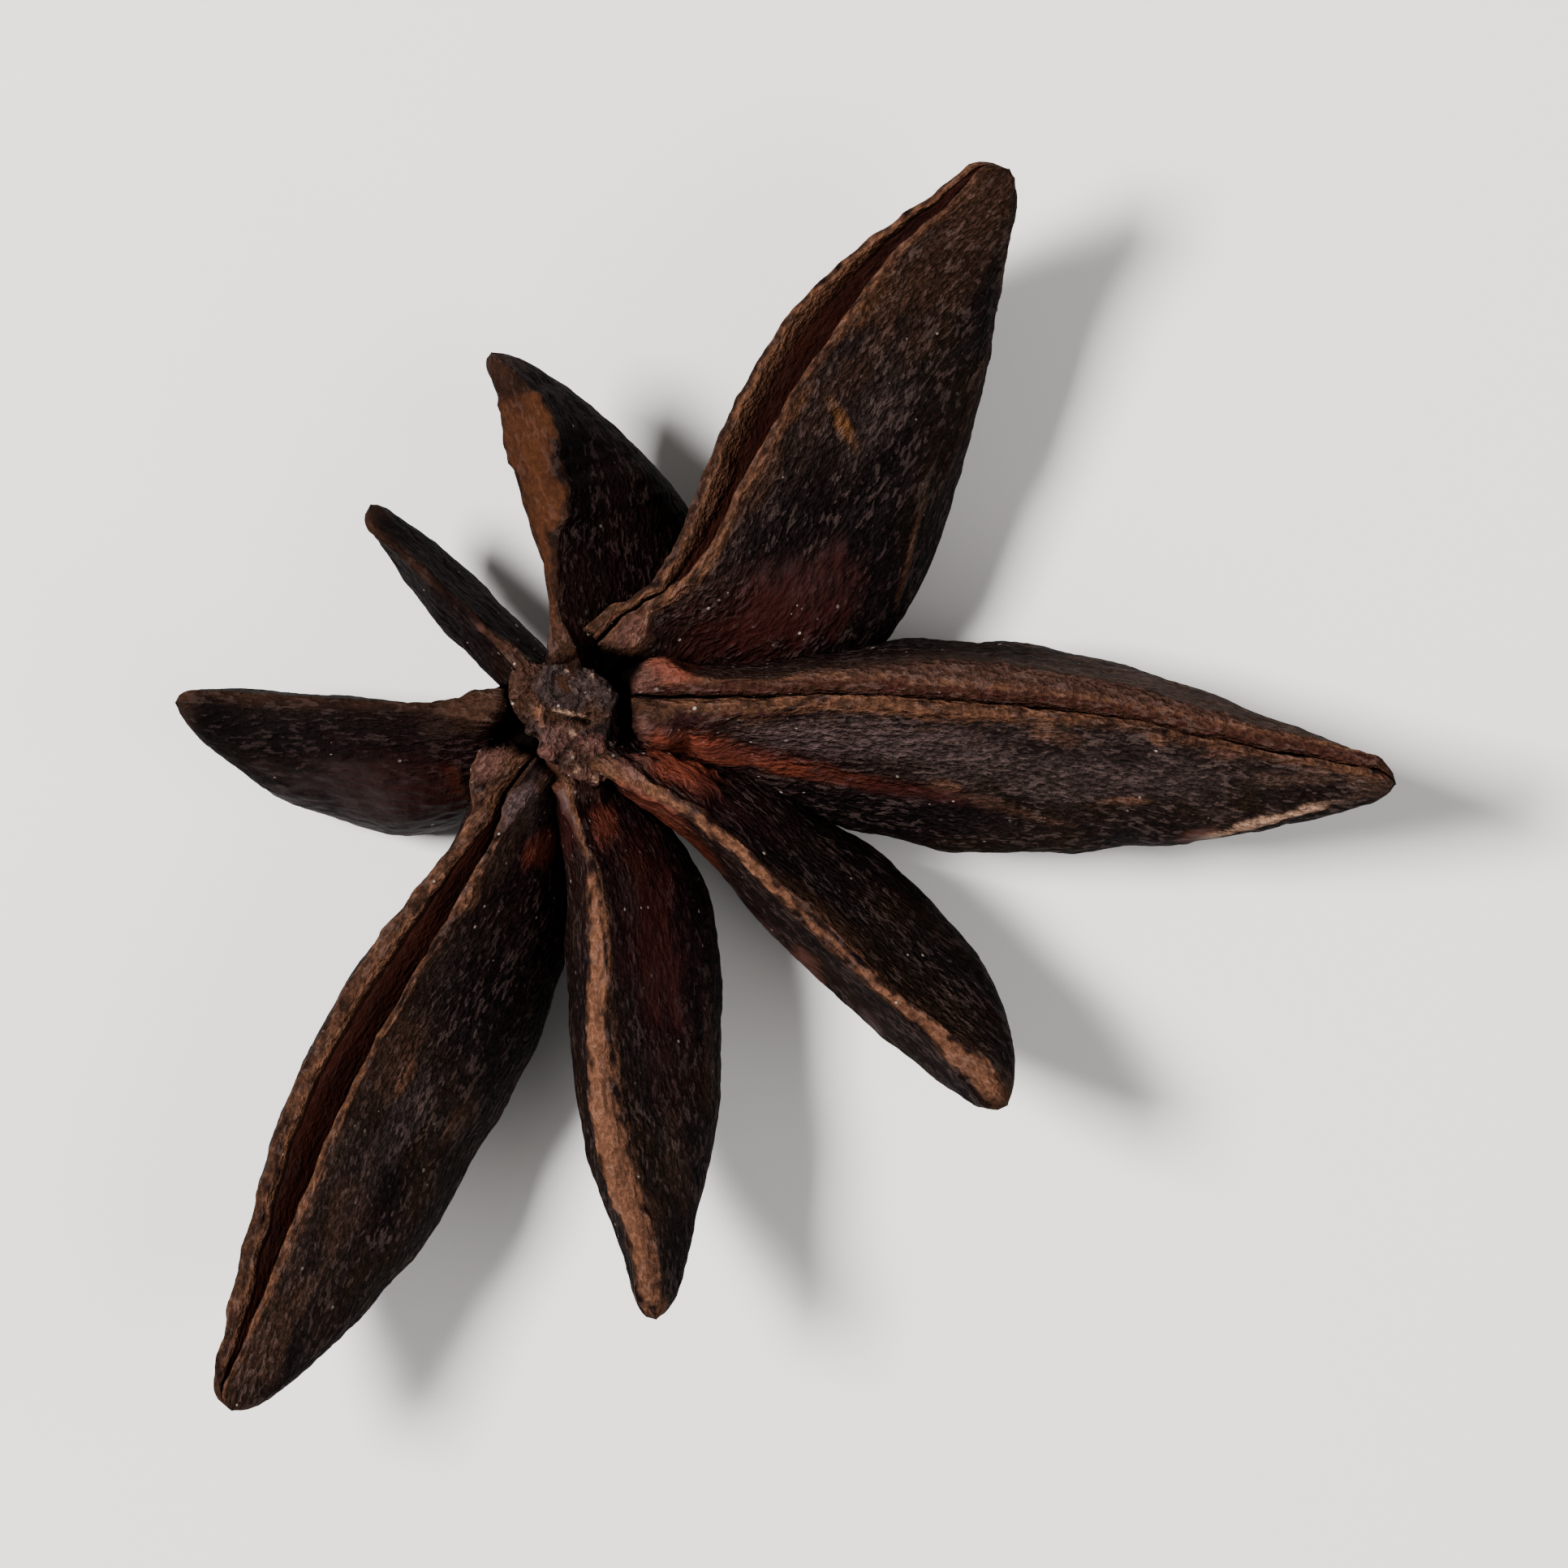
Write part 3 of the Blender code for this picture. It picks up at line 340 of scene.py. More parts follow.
class Station:
    """One section of a follicle, at t from 0 at the column's axis to 1 at the tip."""

    def __init__(self, name, t, seed):
        follicle = FOLLICLES[name]
        self.t = t
        self.seed = seed
        self.length = follicle["length"] * MM
        self.reach = t * self.length
        share = swell(t, follicle["widest"], follicle["blunt"])
        end = NECK_HALF_WIDTH if t < follicle["widest"] else BEAK_HALF_WIDTH
        self.half_width = end + (follicle["half_width"] * MM - end) * share
        keel_share = swell(t, follicle["widest"] * 0.92, follicle["blunt"] * 0.9)
        end = ROOT_DEPTH if t < follicle["widest"] * 0.92 else BEAK_DEPTH
        self.depth = end + (follicle["depth"] * MM - end) * keel_share
        self.bow = follicle["bow"] * MM * math.sin(math.pi * t ** follicle.get("bow_late", 1.3))
        middle, gap, left, right, self.left_tan, self.right_tan = row_at(LIPS[name], self.reach / MM)
        self.lean = middle * MM - self.bow
        self.shut = gap == 0.0
        self.gap = gap * MM * (1.0 + 0.12 * self.ripple(1.1, 2.0))
        self.shown_side = 1.0 if follicle["roll"] < 0.0 else -1.0
        self.left_lip = left * MM * (1.0 + 0.14 * self.ripple(1.2, 5.0) + 0.08 * self.ripple(4.0, 6.0))
        self.right_lip = right * MM * (1.0 + 0.14 * self.ripple(1.2, 8.0) + 0.08 * self.ripple(4.0, 9.0))
        self.tones = follicle["lips"]
        self.sink = follicle["sink"] * MM
        self.foot = LIPS[name][0][0] * MM
        self.shade = follicle.get("shade", 1.0)
        self.band = follicle.get("band", 9.0)
        self.depth_of_hollow(follicle)
        self.place(follicle)

    def ripple(self, often, which):
        return noise.noise(Vector((self.reach / MM * often, 10.0 * self.seed, which)))

    def depth_of_hollow(self, follicle):
        opening = smoothstep((self.t - 0.07) / 0.14) * smoothstep((1.0 - self.t) / 0.10)
        cavity = smoothstep((self.t - 0.12) / 0.30) * smoothstep((0.97 - self.t) / 0.30)
        shallow = max(0.30 * MM, self.lip_drop(1.0) + 0.15 * MM, self.lip_drop(-1.0) + 0.15 * MM)
        self.cavity = shallow + follicle.get("hollow", 0.0) * self.depth * cavity * opening

    def place(self, follicle):
        """Where the section stands on the pod, and how it leans there."""
        heading = math.radians(follicle["heading"])
        ahead = Vector((math.cos(heading), math.sin(heading), 0.0))
        left = Vector((-ahead.y, ahead.x, 0.0))
        up = Vector((0.0, 0.0, 1.0))
        roll = math.radians(follicle["roll"]) * smoothstep(self.t / 0.32)
        self.down = left * math.sin(roll) - up * math.cos(roll)
        self.across = left * math.cos(roll) + up * math.sin(roll)
        rise = LIP_CROWN * math.sin(math.pi * self.t) + BEAK_RISE * smoothstep((self.t - 0.78) / 0.22)
        self.middle = HUB + ahead * self.reach + left * self.bow
        self.middle.z = LIP_HEIGHT + rise - follicle.get("droop", 0.0) * MM * self.t ** 0.8
        into_beak = max(0.0, self.reach - (self.length - BEAK_ROUND)) / BEAK_ROUND
        self.shrink = math.sqrt(max(0.0004, 1.0 - into_beak ** 2))

    def painted_shade_of_lip(self):
        """The painted shade on the lips, lifted beside the column so that the lips there are as light as on any
        other follicle.
        """
        beside_column = 1.0 - smoothstep((self.reach / MM - 2.2) / 1.2)
        return self.shade + (1.0 - self.shade) * beside_column

    def lip_drop(self, side):
        lip = self.left_lip if side > 0 else self.right_lip
        near_column = 1.0 - smoothstep((self.reach / MM - 2.4) / 1.0)
        if self.shut:
            return min(0.28 * lip, (0.12 + 0.10 * near_column) * MM)
        return min(0.45 * lip, (0.28 + 0.20 * near_column) * MM)

    def wall_across(self, side, v):
        """The outer wall's distance from the middle at v, from 0 at the lips to 1 at the keel."""
        power = math.log(0.5) / math.log(PEAR_WIDEST)
        pear = max(0.0, math.sin(math.pi * v ** power)) ** PEAR_FULLNESS
        lip = 0.5 * self.gap + (self.left_lip if side > 0 else self.right_lip)
        lip = min(lip, 0.25 * MM + 0.8 * self.half_width) if self.t > 0.3 else lip
        fold = noise.noise(Vector((self.reach / FOLD_LENGTH, 7.0 * self.seed + 1.3 * v, 3.0 * side)))
        wrinkle = FOLD * fold * pear * swell(self.t, 0.5, 2.0)
        return side * (lip * (1.0 - v) ** 1.6 + self.half_width * pear + wrinkle) + self.lean * (1.0 - v) ** 2

    def wall(self, side, share):
        v = 0.5 * (share + math.sin(0.5 * math.pi * share))
        drop = self.lip_drop(side)
        return self.wall_across(side, v), drop + (self.depth - drop) * v, "wall", v, side

    def lip(self, side, turn):
        """A rounded lip, from 0 at its outer edge to 1 at the slit."""
        width = self.left_lip if side > 0 else self.right_lip
        over = math.cos(math.pi * turn)
        over = math.copysign(abs(over) ** 0.75, over)
        across = 0.5 * (self.gap + width * (1.0 + over))
        drop = self.lip_drop(side)
        down = drop * (1.0 - math.sin(math.pi * turn) ** 0.75)
        return side * across + self.lean, down, "lip", turn, side

    def ridge(self, turn):
        """The one ridge of a shut follicle, from 0 at its right edge to 1 at its left edge."""
        over = 2.0 * turn - 1.0
        side = 1.0 if over > 0 else -1.0
        across = over * (self.left_lip if over > 0 else self.right_lip)
        return across + self.lean, self.lip_drop(side) * over ** 2, "lip", turn, side

    def hollow(self, side, share):
        v = math.sin(0.5 * math.pi * share)
        drop = self.lip_drop(side)
        down = drop + (self.cavity - drop) * v
        inner = side * (self.wall_across(side, down / self.depth) - self.lean) - WALL - 0.5 * self.gap
        across = 0.5 * self.gap + max(0.0, inner) * smoothstep((v - 0.35) / 0.45)
        if side == self.shown_side:
            across -= min(0.40 * down, 0.65 * self.gap)
        return side * across * math.sqrt(max(0.0, 1.0 - v ** 3)) + self.lean, down, "hollow", v, side

    def ring(self, hollow_steps):
        """Across, down, the zone, how far through the zone and the side, once round the section."""
        points = [self.wall(1.0, step / WALL_STEPS) for step in range(WALL_STEPS)]
        points += [self.wall(-1.0, 1.0 - step / WALL_STEPS) for step in range(WALL_STEPS)]
        if self.shut:
            return points + [self.ridge(step / (2 * LIP_STEPS)) for step in range(2 * LIP_STEPS)]
        points += [self.lip(-1.0, step / LIP_STEPS) for step in range(LIP_STEPS)]
        points += [self.hollow(-1.0, step / hollow_steps) for step in range(hollow_steps)]
        points += [self.hollow(1.0, 1.0 - step / hollow_steps) for step in range(hollow_steps)]
        points += [self.lip(1.0, 1.0 - step / LIP_STEPS) for step in range(LIP_STEPS)]
        return points

    def point(self, across, down):
        """The point's place on the pod, and how far it has dropped into the gap by the column."""
        heart = 0.5 * self.depth
        spot = (self.middle + self.across * (across * self.shrink)
                + self.down * (heart + (down - heart) * self.shrink))
        round_off = 0.22 * MM * ((across - self.lean) / (0.8 * MM)) ** 2
        ragged = 0.16 * MM * noise.noise(Vector((across / MM * 2.0, 5.0 * self.seed, 1.0)))
        dropped = 1.0 - smoothstep((self.reach - self.foot - round_off - ragged) / LIP_CLIMB)
        spot.z -= self.sink * dropped * (1.0 - smoothstep(down / (0.85 * self.depth)))
        return spot, dropped


def fibre_noise(place, along, round_, shift):
    """Noise drawn out along the follicle: place is along, across and down in millimetres."""
    return noise.noise(Vector((place.x * along + shift, place.y * round_, place.z * round_)))


def relief(place, zone, through, share):
    """How far the dried surface stands off its smooth form, in millimetres."""
    ragged = 0.035 * fibre_noise(place, 1.6, 1.6, 21.0) + 0.022 * fibre_noise(place, 4.4, 4.4, 2.0)
    if zone == "hollow":
        return 0.6 * ragged * (1.0 - smoothstep(through / 0.5))
    lumps = 0.19 * fibre_noise(place, 2.0, 2.0, 11.0) + 0.12 * fibre_noise(place, 4.4, 4.4, 13.0)
    lumps *= 1.0 - smoothstep((place.x - 1.7) / 1.4)
    dents = 0.10 * fibre_noise(place, 0.30, 0.42, 3.0)
    streaks = 0.028 * fibre_noise(place, 1.9, 3.4, 5.0) + 0.022 * fibre_noise(place, 3.6, 5.2, 9.0)
    if zone == "lip":
        return 0.3 * dents + ragged + lumps + 0.022 * fibre_noise(place, 0.5, 3.6, 7.0)
    body = smoothstep(share / 0.12) * (1.0 - 0.6 * smoothstep((share - 0.9) / 0.1))
    keel = smoothstep((through - 0.6) / 0.3)
    folds = 0.08 * (0.5 - abs(fibre_noise(place, 0.7, 0.55, 31.0))) + 0.03 * fibre_noise(place, 2.1, 2.2, 37.0)
    edge = 0.07 * smoothstep((through - 0.975) / 0.02)
    near_lip = (1.0 - smoothstep(through / 0.05)) * ragged
    return body * (dents + keel * folds + edge) + streaks + near_lip + lumps


def mark_cover(mark, east, north, ragged):
    """How much of a place a mark covers, with a ragged edge."""
    mark_east, mark_north, half_length, half_width, turn, strength = mark[1:7]
    turn = math.radians(turn)
    along = (east - mark_east) * math.cos(turn) + (north - mark_north) * math.sin(turn)
    aside = (north - mark_north) * math.cos(turn) - (east - mark_east) * math.sin(turn)
    off = math.hypot(along / half_length, aside / half_width)
    return strength * smoothstep((1.35 - off + 0.6 * ragged) / 0.8)


def lip_tone(station, through, side, fleck, broad):
    """The tone of a lip or a ridge: its edges are worn lighter."""
    light = TONES[station.tones[0 if side > 0 else 1]]
    tan = station.left_tan if side > 0 else station.right_tan
    base = blend(TONES["purple"], TONES["umber"], smoothstep(0.6 + broad))
    width = (station.left_lip if side > 0 else station.right_lip) / MM
    if station.shut:
        inward = (1.0 - abs(2.0 * through - 1.0)) * width
        cover = smoothstep((inward - 0.02 + 0.22 * fleck + 0.08 * broad) / 0.16)
        return blend(base, light, min(1.0, cover * tan * (0.92 + 0.5 * broad + 0.35 * fleck)))
    from_slit = 0.5 * width * (1.0 + math.cos(math.pi * through))
    to_wall = width - from_slit
    if station.tones[0] == "taupe" and side > 0:
        # Near the slit this lip is darker red: partly its own red, partly painted shade on the lower half of the
        # rounded lip.
        inner = blend(TONES["red"], TONES["umber"], 0.55 + 0.5 * fleck)
        tone = blend(inner, TONES["taupe"], 0.60 * smoothstep((from_slit - 0.26 + 0.10 * fleck) / 0.10))
        line = smoothstep((0.09 - abs(from_slit - 0.34 + 0.06 * broad)) / 0.07)
        return blend(tone, TONES["tan"], line * (0.55 + 0.6 * fleck))
    line = smoothstep((0.15 - from_slit + 0.14 * fleck) / 0.10)
    line = max(line, 0.9 * smoothstep((0.10 - to_wall + 0.14 * fleck) / 0.10))
    if side < 0:
        beyond = smoothstep((from_slit - station.band + 0.25 * fleck) / 0.12)
        tan *= 1.0 - beyond
        base = blend(base, TONES["maroon"], 0.8 * beyond)
    tone = blend(base, light, tan * smoothstep(0.45 + fleck))
    return blend(tone, TONES["tan"], min(1.0, line * tan * (1.25 + 0.6 * fleck)))


def husk_colour(station, place, zone, through, side, raised, covers):
    """The tone of a point on a follicle, how strong the grain is there and how glossy it is."""
    broad = fibre_noise(place, 0.35, 0.7, 51.0)
    blotch = fibre_noise(place, 0.9, 1.8, 41.0)
    fleck = fibre_noise(place, 3.0, 5.5, 43.0)
    gloss = 0.0
    grain = 1.0
    tan = station.left_tan if side > 0 else station.right_tan
    if zone == "hollow":
        tone = blend(TONES["inside"], TONES["rust"], 0.10 + 0.25 * blotch)
        # Painted shade: the hollow goes nearly black deeper in.
        return blend(tone, TONES["soot"], 0.85 * smoothstep((through - 0.45) / 0.4)), 0.15, 0.2
    if zone == "lip":
        tone = lip_tone(station, through, side, fleck, blotch)
        tone = tuple((0.4 + 0.6 * station.painted_shade_of_lip()) * value for value in tone)
        grain = 0.8 * station.painted_shade_of_lip()
    else:
        tone = blend(TONES["purple"], TONES["olive"], smoothstep(0.45 + 1.1 * broad))
        tone = blend(tone, TONES["slate"], 0.7 * smoothstep(0.45 + 1.2 * blotch))
        tone = blend(tone, TONES["ash"], 0.25 * (1.0 - smoothstep(through / 0.30)))
        near_column = 1.0 - smoothstep((place.x - 2.0) / 6.0)
        tone = blend(tone, TONES["maroon"], 0.75 * near_column * smoothstep(0.75 + 0.9 * blotch))
    for name, cover in covers:
        tone = blend(tone, TONES[name], cover)
        if name in GLOSSY:
            gloss = max(gloss, GLOSSY[name] * cover)
    if zone == "wall":
        from_lip = through * station.depth / MM
        near_lip = 1.0 - smoothstep((from_lip - 0.02 - 0.12 * fleck) / 0.20)
        tone = blend(tone, TONES["tan"], 0.75 * near_lip * min(1.0, tan * (0.75 + 0.9 * fleck)))
        if not station.shut:
            worn = (1.0 - smoothstep(from_lip / 1.3)) * smoothstep((blotch + fleck + 0.05) / 0.35)
            worn = max(worn, 1.0 - smoothstep(from_lip / 0.8)) if side > 0 else worn
            tone = blend(tone, TONES["taupe"], 0.7 * worn * tan)
            if side > 0 and station.tones[0] == "taupe":
                tone = blend(tone, TONES["taupe"], 0.50 * (1.0 - smoothstep((from_lip - 0.5) / 1.6)))
        ridge_top = smoothstep((through - 0.6) / 0.3) * smoothstep((raised - 0.05) / 0.08)
        tone = blend(tone, TONES["umber"], 0.7 * ridge_top)
        # Painted shade: the walls are darker further down towards the keel, and darker still by the follicle's
        # shade.
        low = 1.0 - 0.40 * smoothstep((through - 0.30) / 0.45)
        tone = tuple(low * station.shade * value for value in tone)
        grain *= station.shade
    tip = smoothstep((place.x - station.length / MM + 0.8) / 0.8)
    return blend(tone, TONES["umber"], 0.5 * tip), grain * (1.0 - 0.80 * gloss), gloss


def finish_object(name, bm, material):
    mesh = bpy.data.meshes.new(name)
    bm.to_mesh(mesh)
    bm.free()
    mesh.materials.append(material)
    mesh.shade_smooth()
    made = bpy.data.objects.new(name, mesh)
    bpy.context.scene.collection.objects.link(made)
    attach(made, "root")
    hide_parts(NODE)
    return made


def build_follicle(name, seed, material):
    follicle = FOLLICLES[name]
    length = follicle["length"] * MM
    spans = round((length - ROOT_REACH) / STATION_SPACING)
    root = ROOT_REACH / length
    stations = [Station(name, root + (1.0 - root) * row / spans, seed) for row in range(spans + 1)]
    rings = [station.ring(HOLLOW_STEPS if follicle.get("hollow", 0.0) > 0.5 else GROOVE_STEPS)
             for station in stations]
    around = len(rings[0])
    bm = bmesh.new()
    bmesh.ops.create_grid(bm, x_segments=around, y_segments=spans, size=0.5)
    fibre = bm.verts.layers.float_vector.new("fibre")
    tint = bm.verts.layers.float_color.new("tint")
    grain = bm.verts.layers.float.new("grain")
    gloss = bm.verts.layers.float.new("gloss")
    glint_specks = bm.verts.layers.float.new("glint_specks")
    facts = {}
    for vert in bm.verts:
        step = round((vert.co.x + 0.5) * around) % around
        row = round((vert.co.y + 0.5) * spans)
        across, down, zone, through, side = rings[row][step]
        station = stations[row]
        vert[fibre] = Vector((station.reach, across, down)) / MM + Vector((40.0 * seed, 0.0, 0.0))
        vert.co, dropped = station.point(across, down)
        facts[vert] = (station, zone, through, side, dropped)
    bmesh.ops.remove_doubles(bm, verts=bm.verts, dist=0.0001 * MM)
    bmesh.ops.holes_fill(bm, edges=bm.edges, sides=0)
    bmesh.ops.recalc_face_normals(bm, faces=bm.faces)
    bm.normal_update()
    moved = {}
    for vert in bm.verts:
        station, zone, through, side, dropped = facts[vert]
        place = vert[fibre] - Vector((40.0 * seed, 0.0, 0.0))
        plan = (vert.co - HUB) / MM
        raised = relief(vert[fibre], zone, through, station.t)
        covers = []
        if vert.normal.z > -0.1 and zone == "wall" or zone == "lip" and place.x < 3.6:
            ragged = fibre_noise(vert[fibre], 0.9, 1.8, 41.0) + 0.6 * fibre_noise(vert[fibre], 3.0, 5.5, 43.0)
            for mark in MARKS[name]:
                cover = mark_cover(mark, plan.x, plan.y, ragged)
                if cover > 0.0:
                    covers.append((mark[0], cover))
                    raised += mark[7] * cover
        tone, strength, vert[gloss] = husk_colour(station, place, zone, through, side, raised, covers)
        # Painted shade: where the follicle drops into the gap round the column it turns nearly black, without
        # grain or glints.
        painted_pit_shade = smoothstep((dropped - 0.35) / 0.5) * min(1.0, station.sink / (1.5 * MM))
        vert[tint] = (*blend(tone, TONES["soot"], 0.95 * painted_pit_shade), 1.0)
        vert[grain] = strength * (1.0 - painted_pit_shade)
        # Painted glints: the share of cells that get a pale dot, most near the column, fewer on shaded follicles
        # and none in the hollow or the gap.
        glint_chance = (0.08 + 0.87 * (1.0 - smoothstep(place.x / 8.0))) * station.painted_shade_of_lip() ** 2
        vert[glint_specks] = 0.0 if zone == "hollow" else glint_chance * (1.0 - painted_pit_shade)
        moved[vert] = vert.co + vert.normal * (raised * MM)
    for vert, target in moved.items():
        vert.co = (target.x, target.y, max(0.0, target.z))
    return finish_object("follicle_" + name, bm, material)


def column_relief(spot, facing_up):
    """How far the column's crumbling surface stands off its smooth form, in millimetres."""
    raised = 0.12 * noise.noise(spot * 1.5) + 0.10 * noise.noise(spot * 3.3 + Vector((5, 1, 2)))
    raised += 0.05 * noise.noise(spot * 7.5)
    crack = smoothstep((0.07 - abs(noise.noise(spot * 1.9 + Vector((2, 7, 3))))) / 0.07)
    raised -= 0.09 * crack
    if facing_up and spot.z > 6.2:
        for mark in COLUMN_MARKS:
            raised += mark[7] * mark_cover(mark, spot.x, spot.y, 0.0)
    return raised


def column_colour(spot, raised):
    """The tone of a point on the column, in millimetres from the foot of its axis."""
    blotch = noise.noise(spot * 1.6)
    fleck = noise.noise(spot * 4.6 + Vector((3, 1, 2)))
    tone = blend(TONES["umber"], TONES["slate"], smoothstep(0.6 + 1.3 * blotch))
    tone = blend(tone, TONES["rose"], 0.65 * smoothstep((raised + 0.12 * fleck - 0.02) / 0.12))
    # Painted shade: the sunken parts of the column are darker.
    tone = blend(tone, TONES["soot"], 0.70 * smoothstep((-0.08 - raised + 0.05 * fleck) / 0.08))
    if spot.z > 6.2:
        for mark in COLUMN_MARKS:
            tone = blend(tone, TONES[mark[0]], mark_cover(mark, spot.x, spot.y, blotch + 0.6 * fleck))
    return tone


def build_column(material):
    """The crumbling top of the column, its foot between the keels and the stub of the stalk."""
    profile = [
        (0.0, COLUMN_TOP),
        (0.90 * MM, COLUMN_TOP),
        (1.00 * MM, COLUMN_TOP - 0.20 * MM),
        (0.98 * MM, COLUMN_TOP - 1.2 * MM),
        (0.95 * COLUMN_WAIST, 0.5 * (COLUMN_TOP + COLUMN_FOOT)),
        (0.9 * COLUMN_FOOT_RADIUS, COLUMN_FOOT + 0.4 * MM),
        (COLUMN_FOOT_RADIUS, COLUMN_FOOT),
        (1.15 * STALK_RADIUS, COLUMN_FOOT - 0.6 * MM),
        (STALK_RADIUS, 0.5 * (COLUMN_FOOT + STALK_END)),
        (0.92 * STALK_RADIUS, STALK_END + 0.1 * MM),
        (0.7 * STALK_RADIUS, STALK_END),
        (0.0, STALK_END + 0.15 * MM),
    ]
    bm = bmesh.new()
    line = [bm.verts.new((radius, 0.0, height)) for radius, height in profile]
    edges = [bm.edges.new(pair) for pair in zip(line, line[1:])]
    bmesh.ops.subdivide_edges(bm, edges=edges[:1], cuts=24)
    bmesh.ops.subdivide_edges(bm, edges=edges[1:], cuts=9)
    bmesh.ops.spin(bm, geom=bm.verts[:] + bm.edges[:], cent=(0, 0, 0), axis=(0, 0, 1),
                   angle=2 * math.pi, steps=160, use_merge=True)
    bmesh.ops.remove_doubles(bm, verts=bm.verts, dist=0.001 * MM)
    bmesh.ops.recalc_face_normals(bm, faces=bm.faces)
    fibre = bm.verts.layers.float_vector.new("fibre")
    tint = bm.verts.layers.float_color.new("tint")
    grain = bm.verts.layers.float.new("grain")
    gloss = bm.verts.layers.float.new("gloss")
    glint_specks = bm.verts.layers.float.new("glint_specks")
    for vert in bm.verts:
        top = smoothstep((vert.co.z / MM - 5.2) / 1.6)
        rim = row_at(COLUMN_RIM, math.degrees(math.atan2(vert.co.y, vert.co.x)) % 360.0)[0]
        wide = 1.0 + top * (rim - 1.0)
        vert.co.x *= wide
        vert.co.y *= wide
    bm.normal_update()
    moved = {}
    for vert in bm.verts:
        spot = vert.co / MM
        raised = column_relief(spot, vert.normal.z > 0.2)
        moved[vert] = vert.co + vert.normal * (raised * MM)
        vert[fibre] = Vector((0.8 * spot.z, spot.x, spot.y))
        vert[tint] = (*column_colour(spot, raised), 1.0)
        vert[grain] = 0.8
        vert[gloss] = 0.15
        # Painted glints on most of the column's cells.
        vert[glint_specks] = 0.95
    for vert, target in moved.items():
        vert.co = target + HUB
    return finish_object("column", bm, material)


# Materials.

def new_group(name, inputs, outputs):
    group = bpy.data.node_groups.new(name, "ShaderNodeTree")
    for label, kind, value in inputs:
        socket = group.interface.new_socket(label, in_out="INPUT", socket_type=kind)
        socket.default_value = value
    for label, kind in outputs:
        group.interface.new_socket(label, in_out="OUTPUT", socket_type=kind)
    start = group.nodes.new("NodeGroupInput")
    end = group.nodes.new("NodeGroupOutput")
    return group, start, end


class Wiring:
    """Short calls for the nodes that the husk's finishes are made of."""

    def __init__(self, tree):
        self.tree = tree

    def node(self, kind, **settings):
        made = self.tree.nodes.new(kind)
        for key, value in settings.items():
            setattr(made, key, value)
        return made

    def link(self, source, socket):
        self.tree.links.new(source, socket)

    def put(self, socket, value):
        if isinstance(value, bpy.types.NodeSocket):
            self.link(value, socket)
        else:
            socket.default_value = value

    def noise(self, vector, stretch, detail=3.0, roughness=0.55):
        mapping = self.node("ShaderNodeMapping")
        self.link(vector, mapping.inputs["Vector"])
        self.put(mapping.inputs["Scale"], stretch)
        texture = self.node("ShaderNodeTexNoise")
        self.link(mapping.outputs["Vector"], texture.inputs["Vector"])
        texture.inputs["Scale"].default_value = 1.0
        texture.inputs["Detail"].default_value = detail
        texture.inputs["Roughness"].default_value = roughness
        return texture.outputs["Fac"]

    def ramp(self, value, low, high, bottom=0.0, top=1.0):
        """From bottom at low to top at high, with soft ends."""
        made = self.node("ShaderNodeMapRange", clamp=True, interpolation_type="SMOOTHSTEP")
        self.link(value, made.inputs["Value"])
        made.inputs["From Min"].default_value = low
        made.inputs["From Max"].default_value = high
        made.inputs["To Min"].default_value = bottom
        made.inputs["To Max"].default_value = top
        return made.outputs["Result"]

    def math(self, operation, first, second):
        made = self.node("ShaderNodeMath", operation=operation)
        self.put(made.inputs[0], first)
        self.put(made.inputs[1], second)
        return made.outputs["Value"]

    def mix(self, share, first, second):
        made = self.node("ShaderNodeMix", data_type="RGBA")
        self.put(made.inputs["Factor"], share)
        self.put(made.inputs["A"], first)
        self.put(made.inputs["B"], second)
        return made.outputs["Result"]


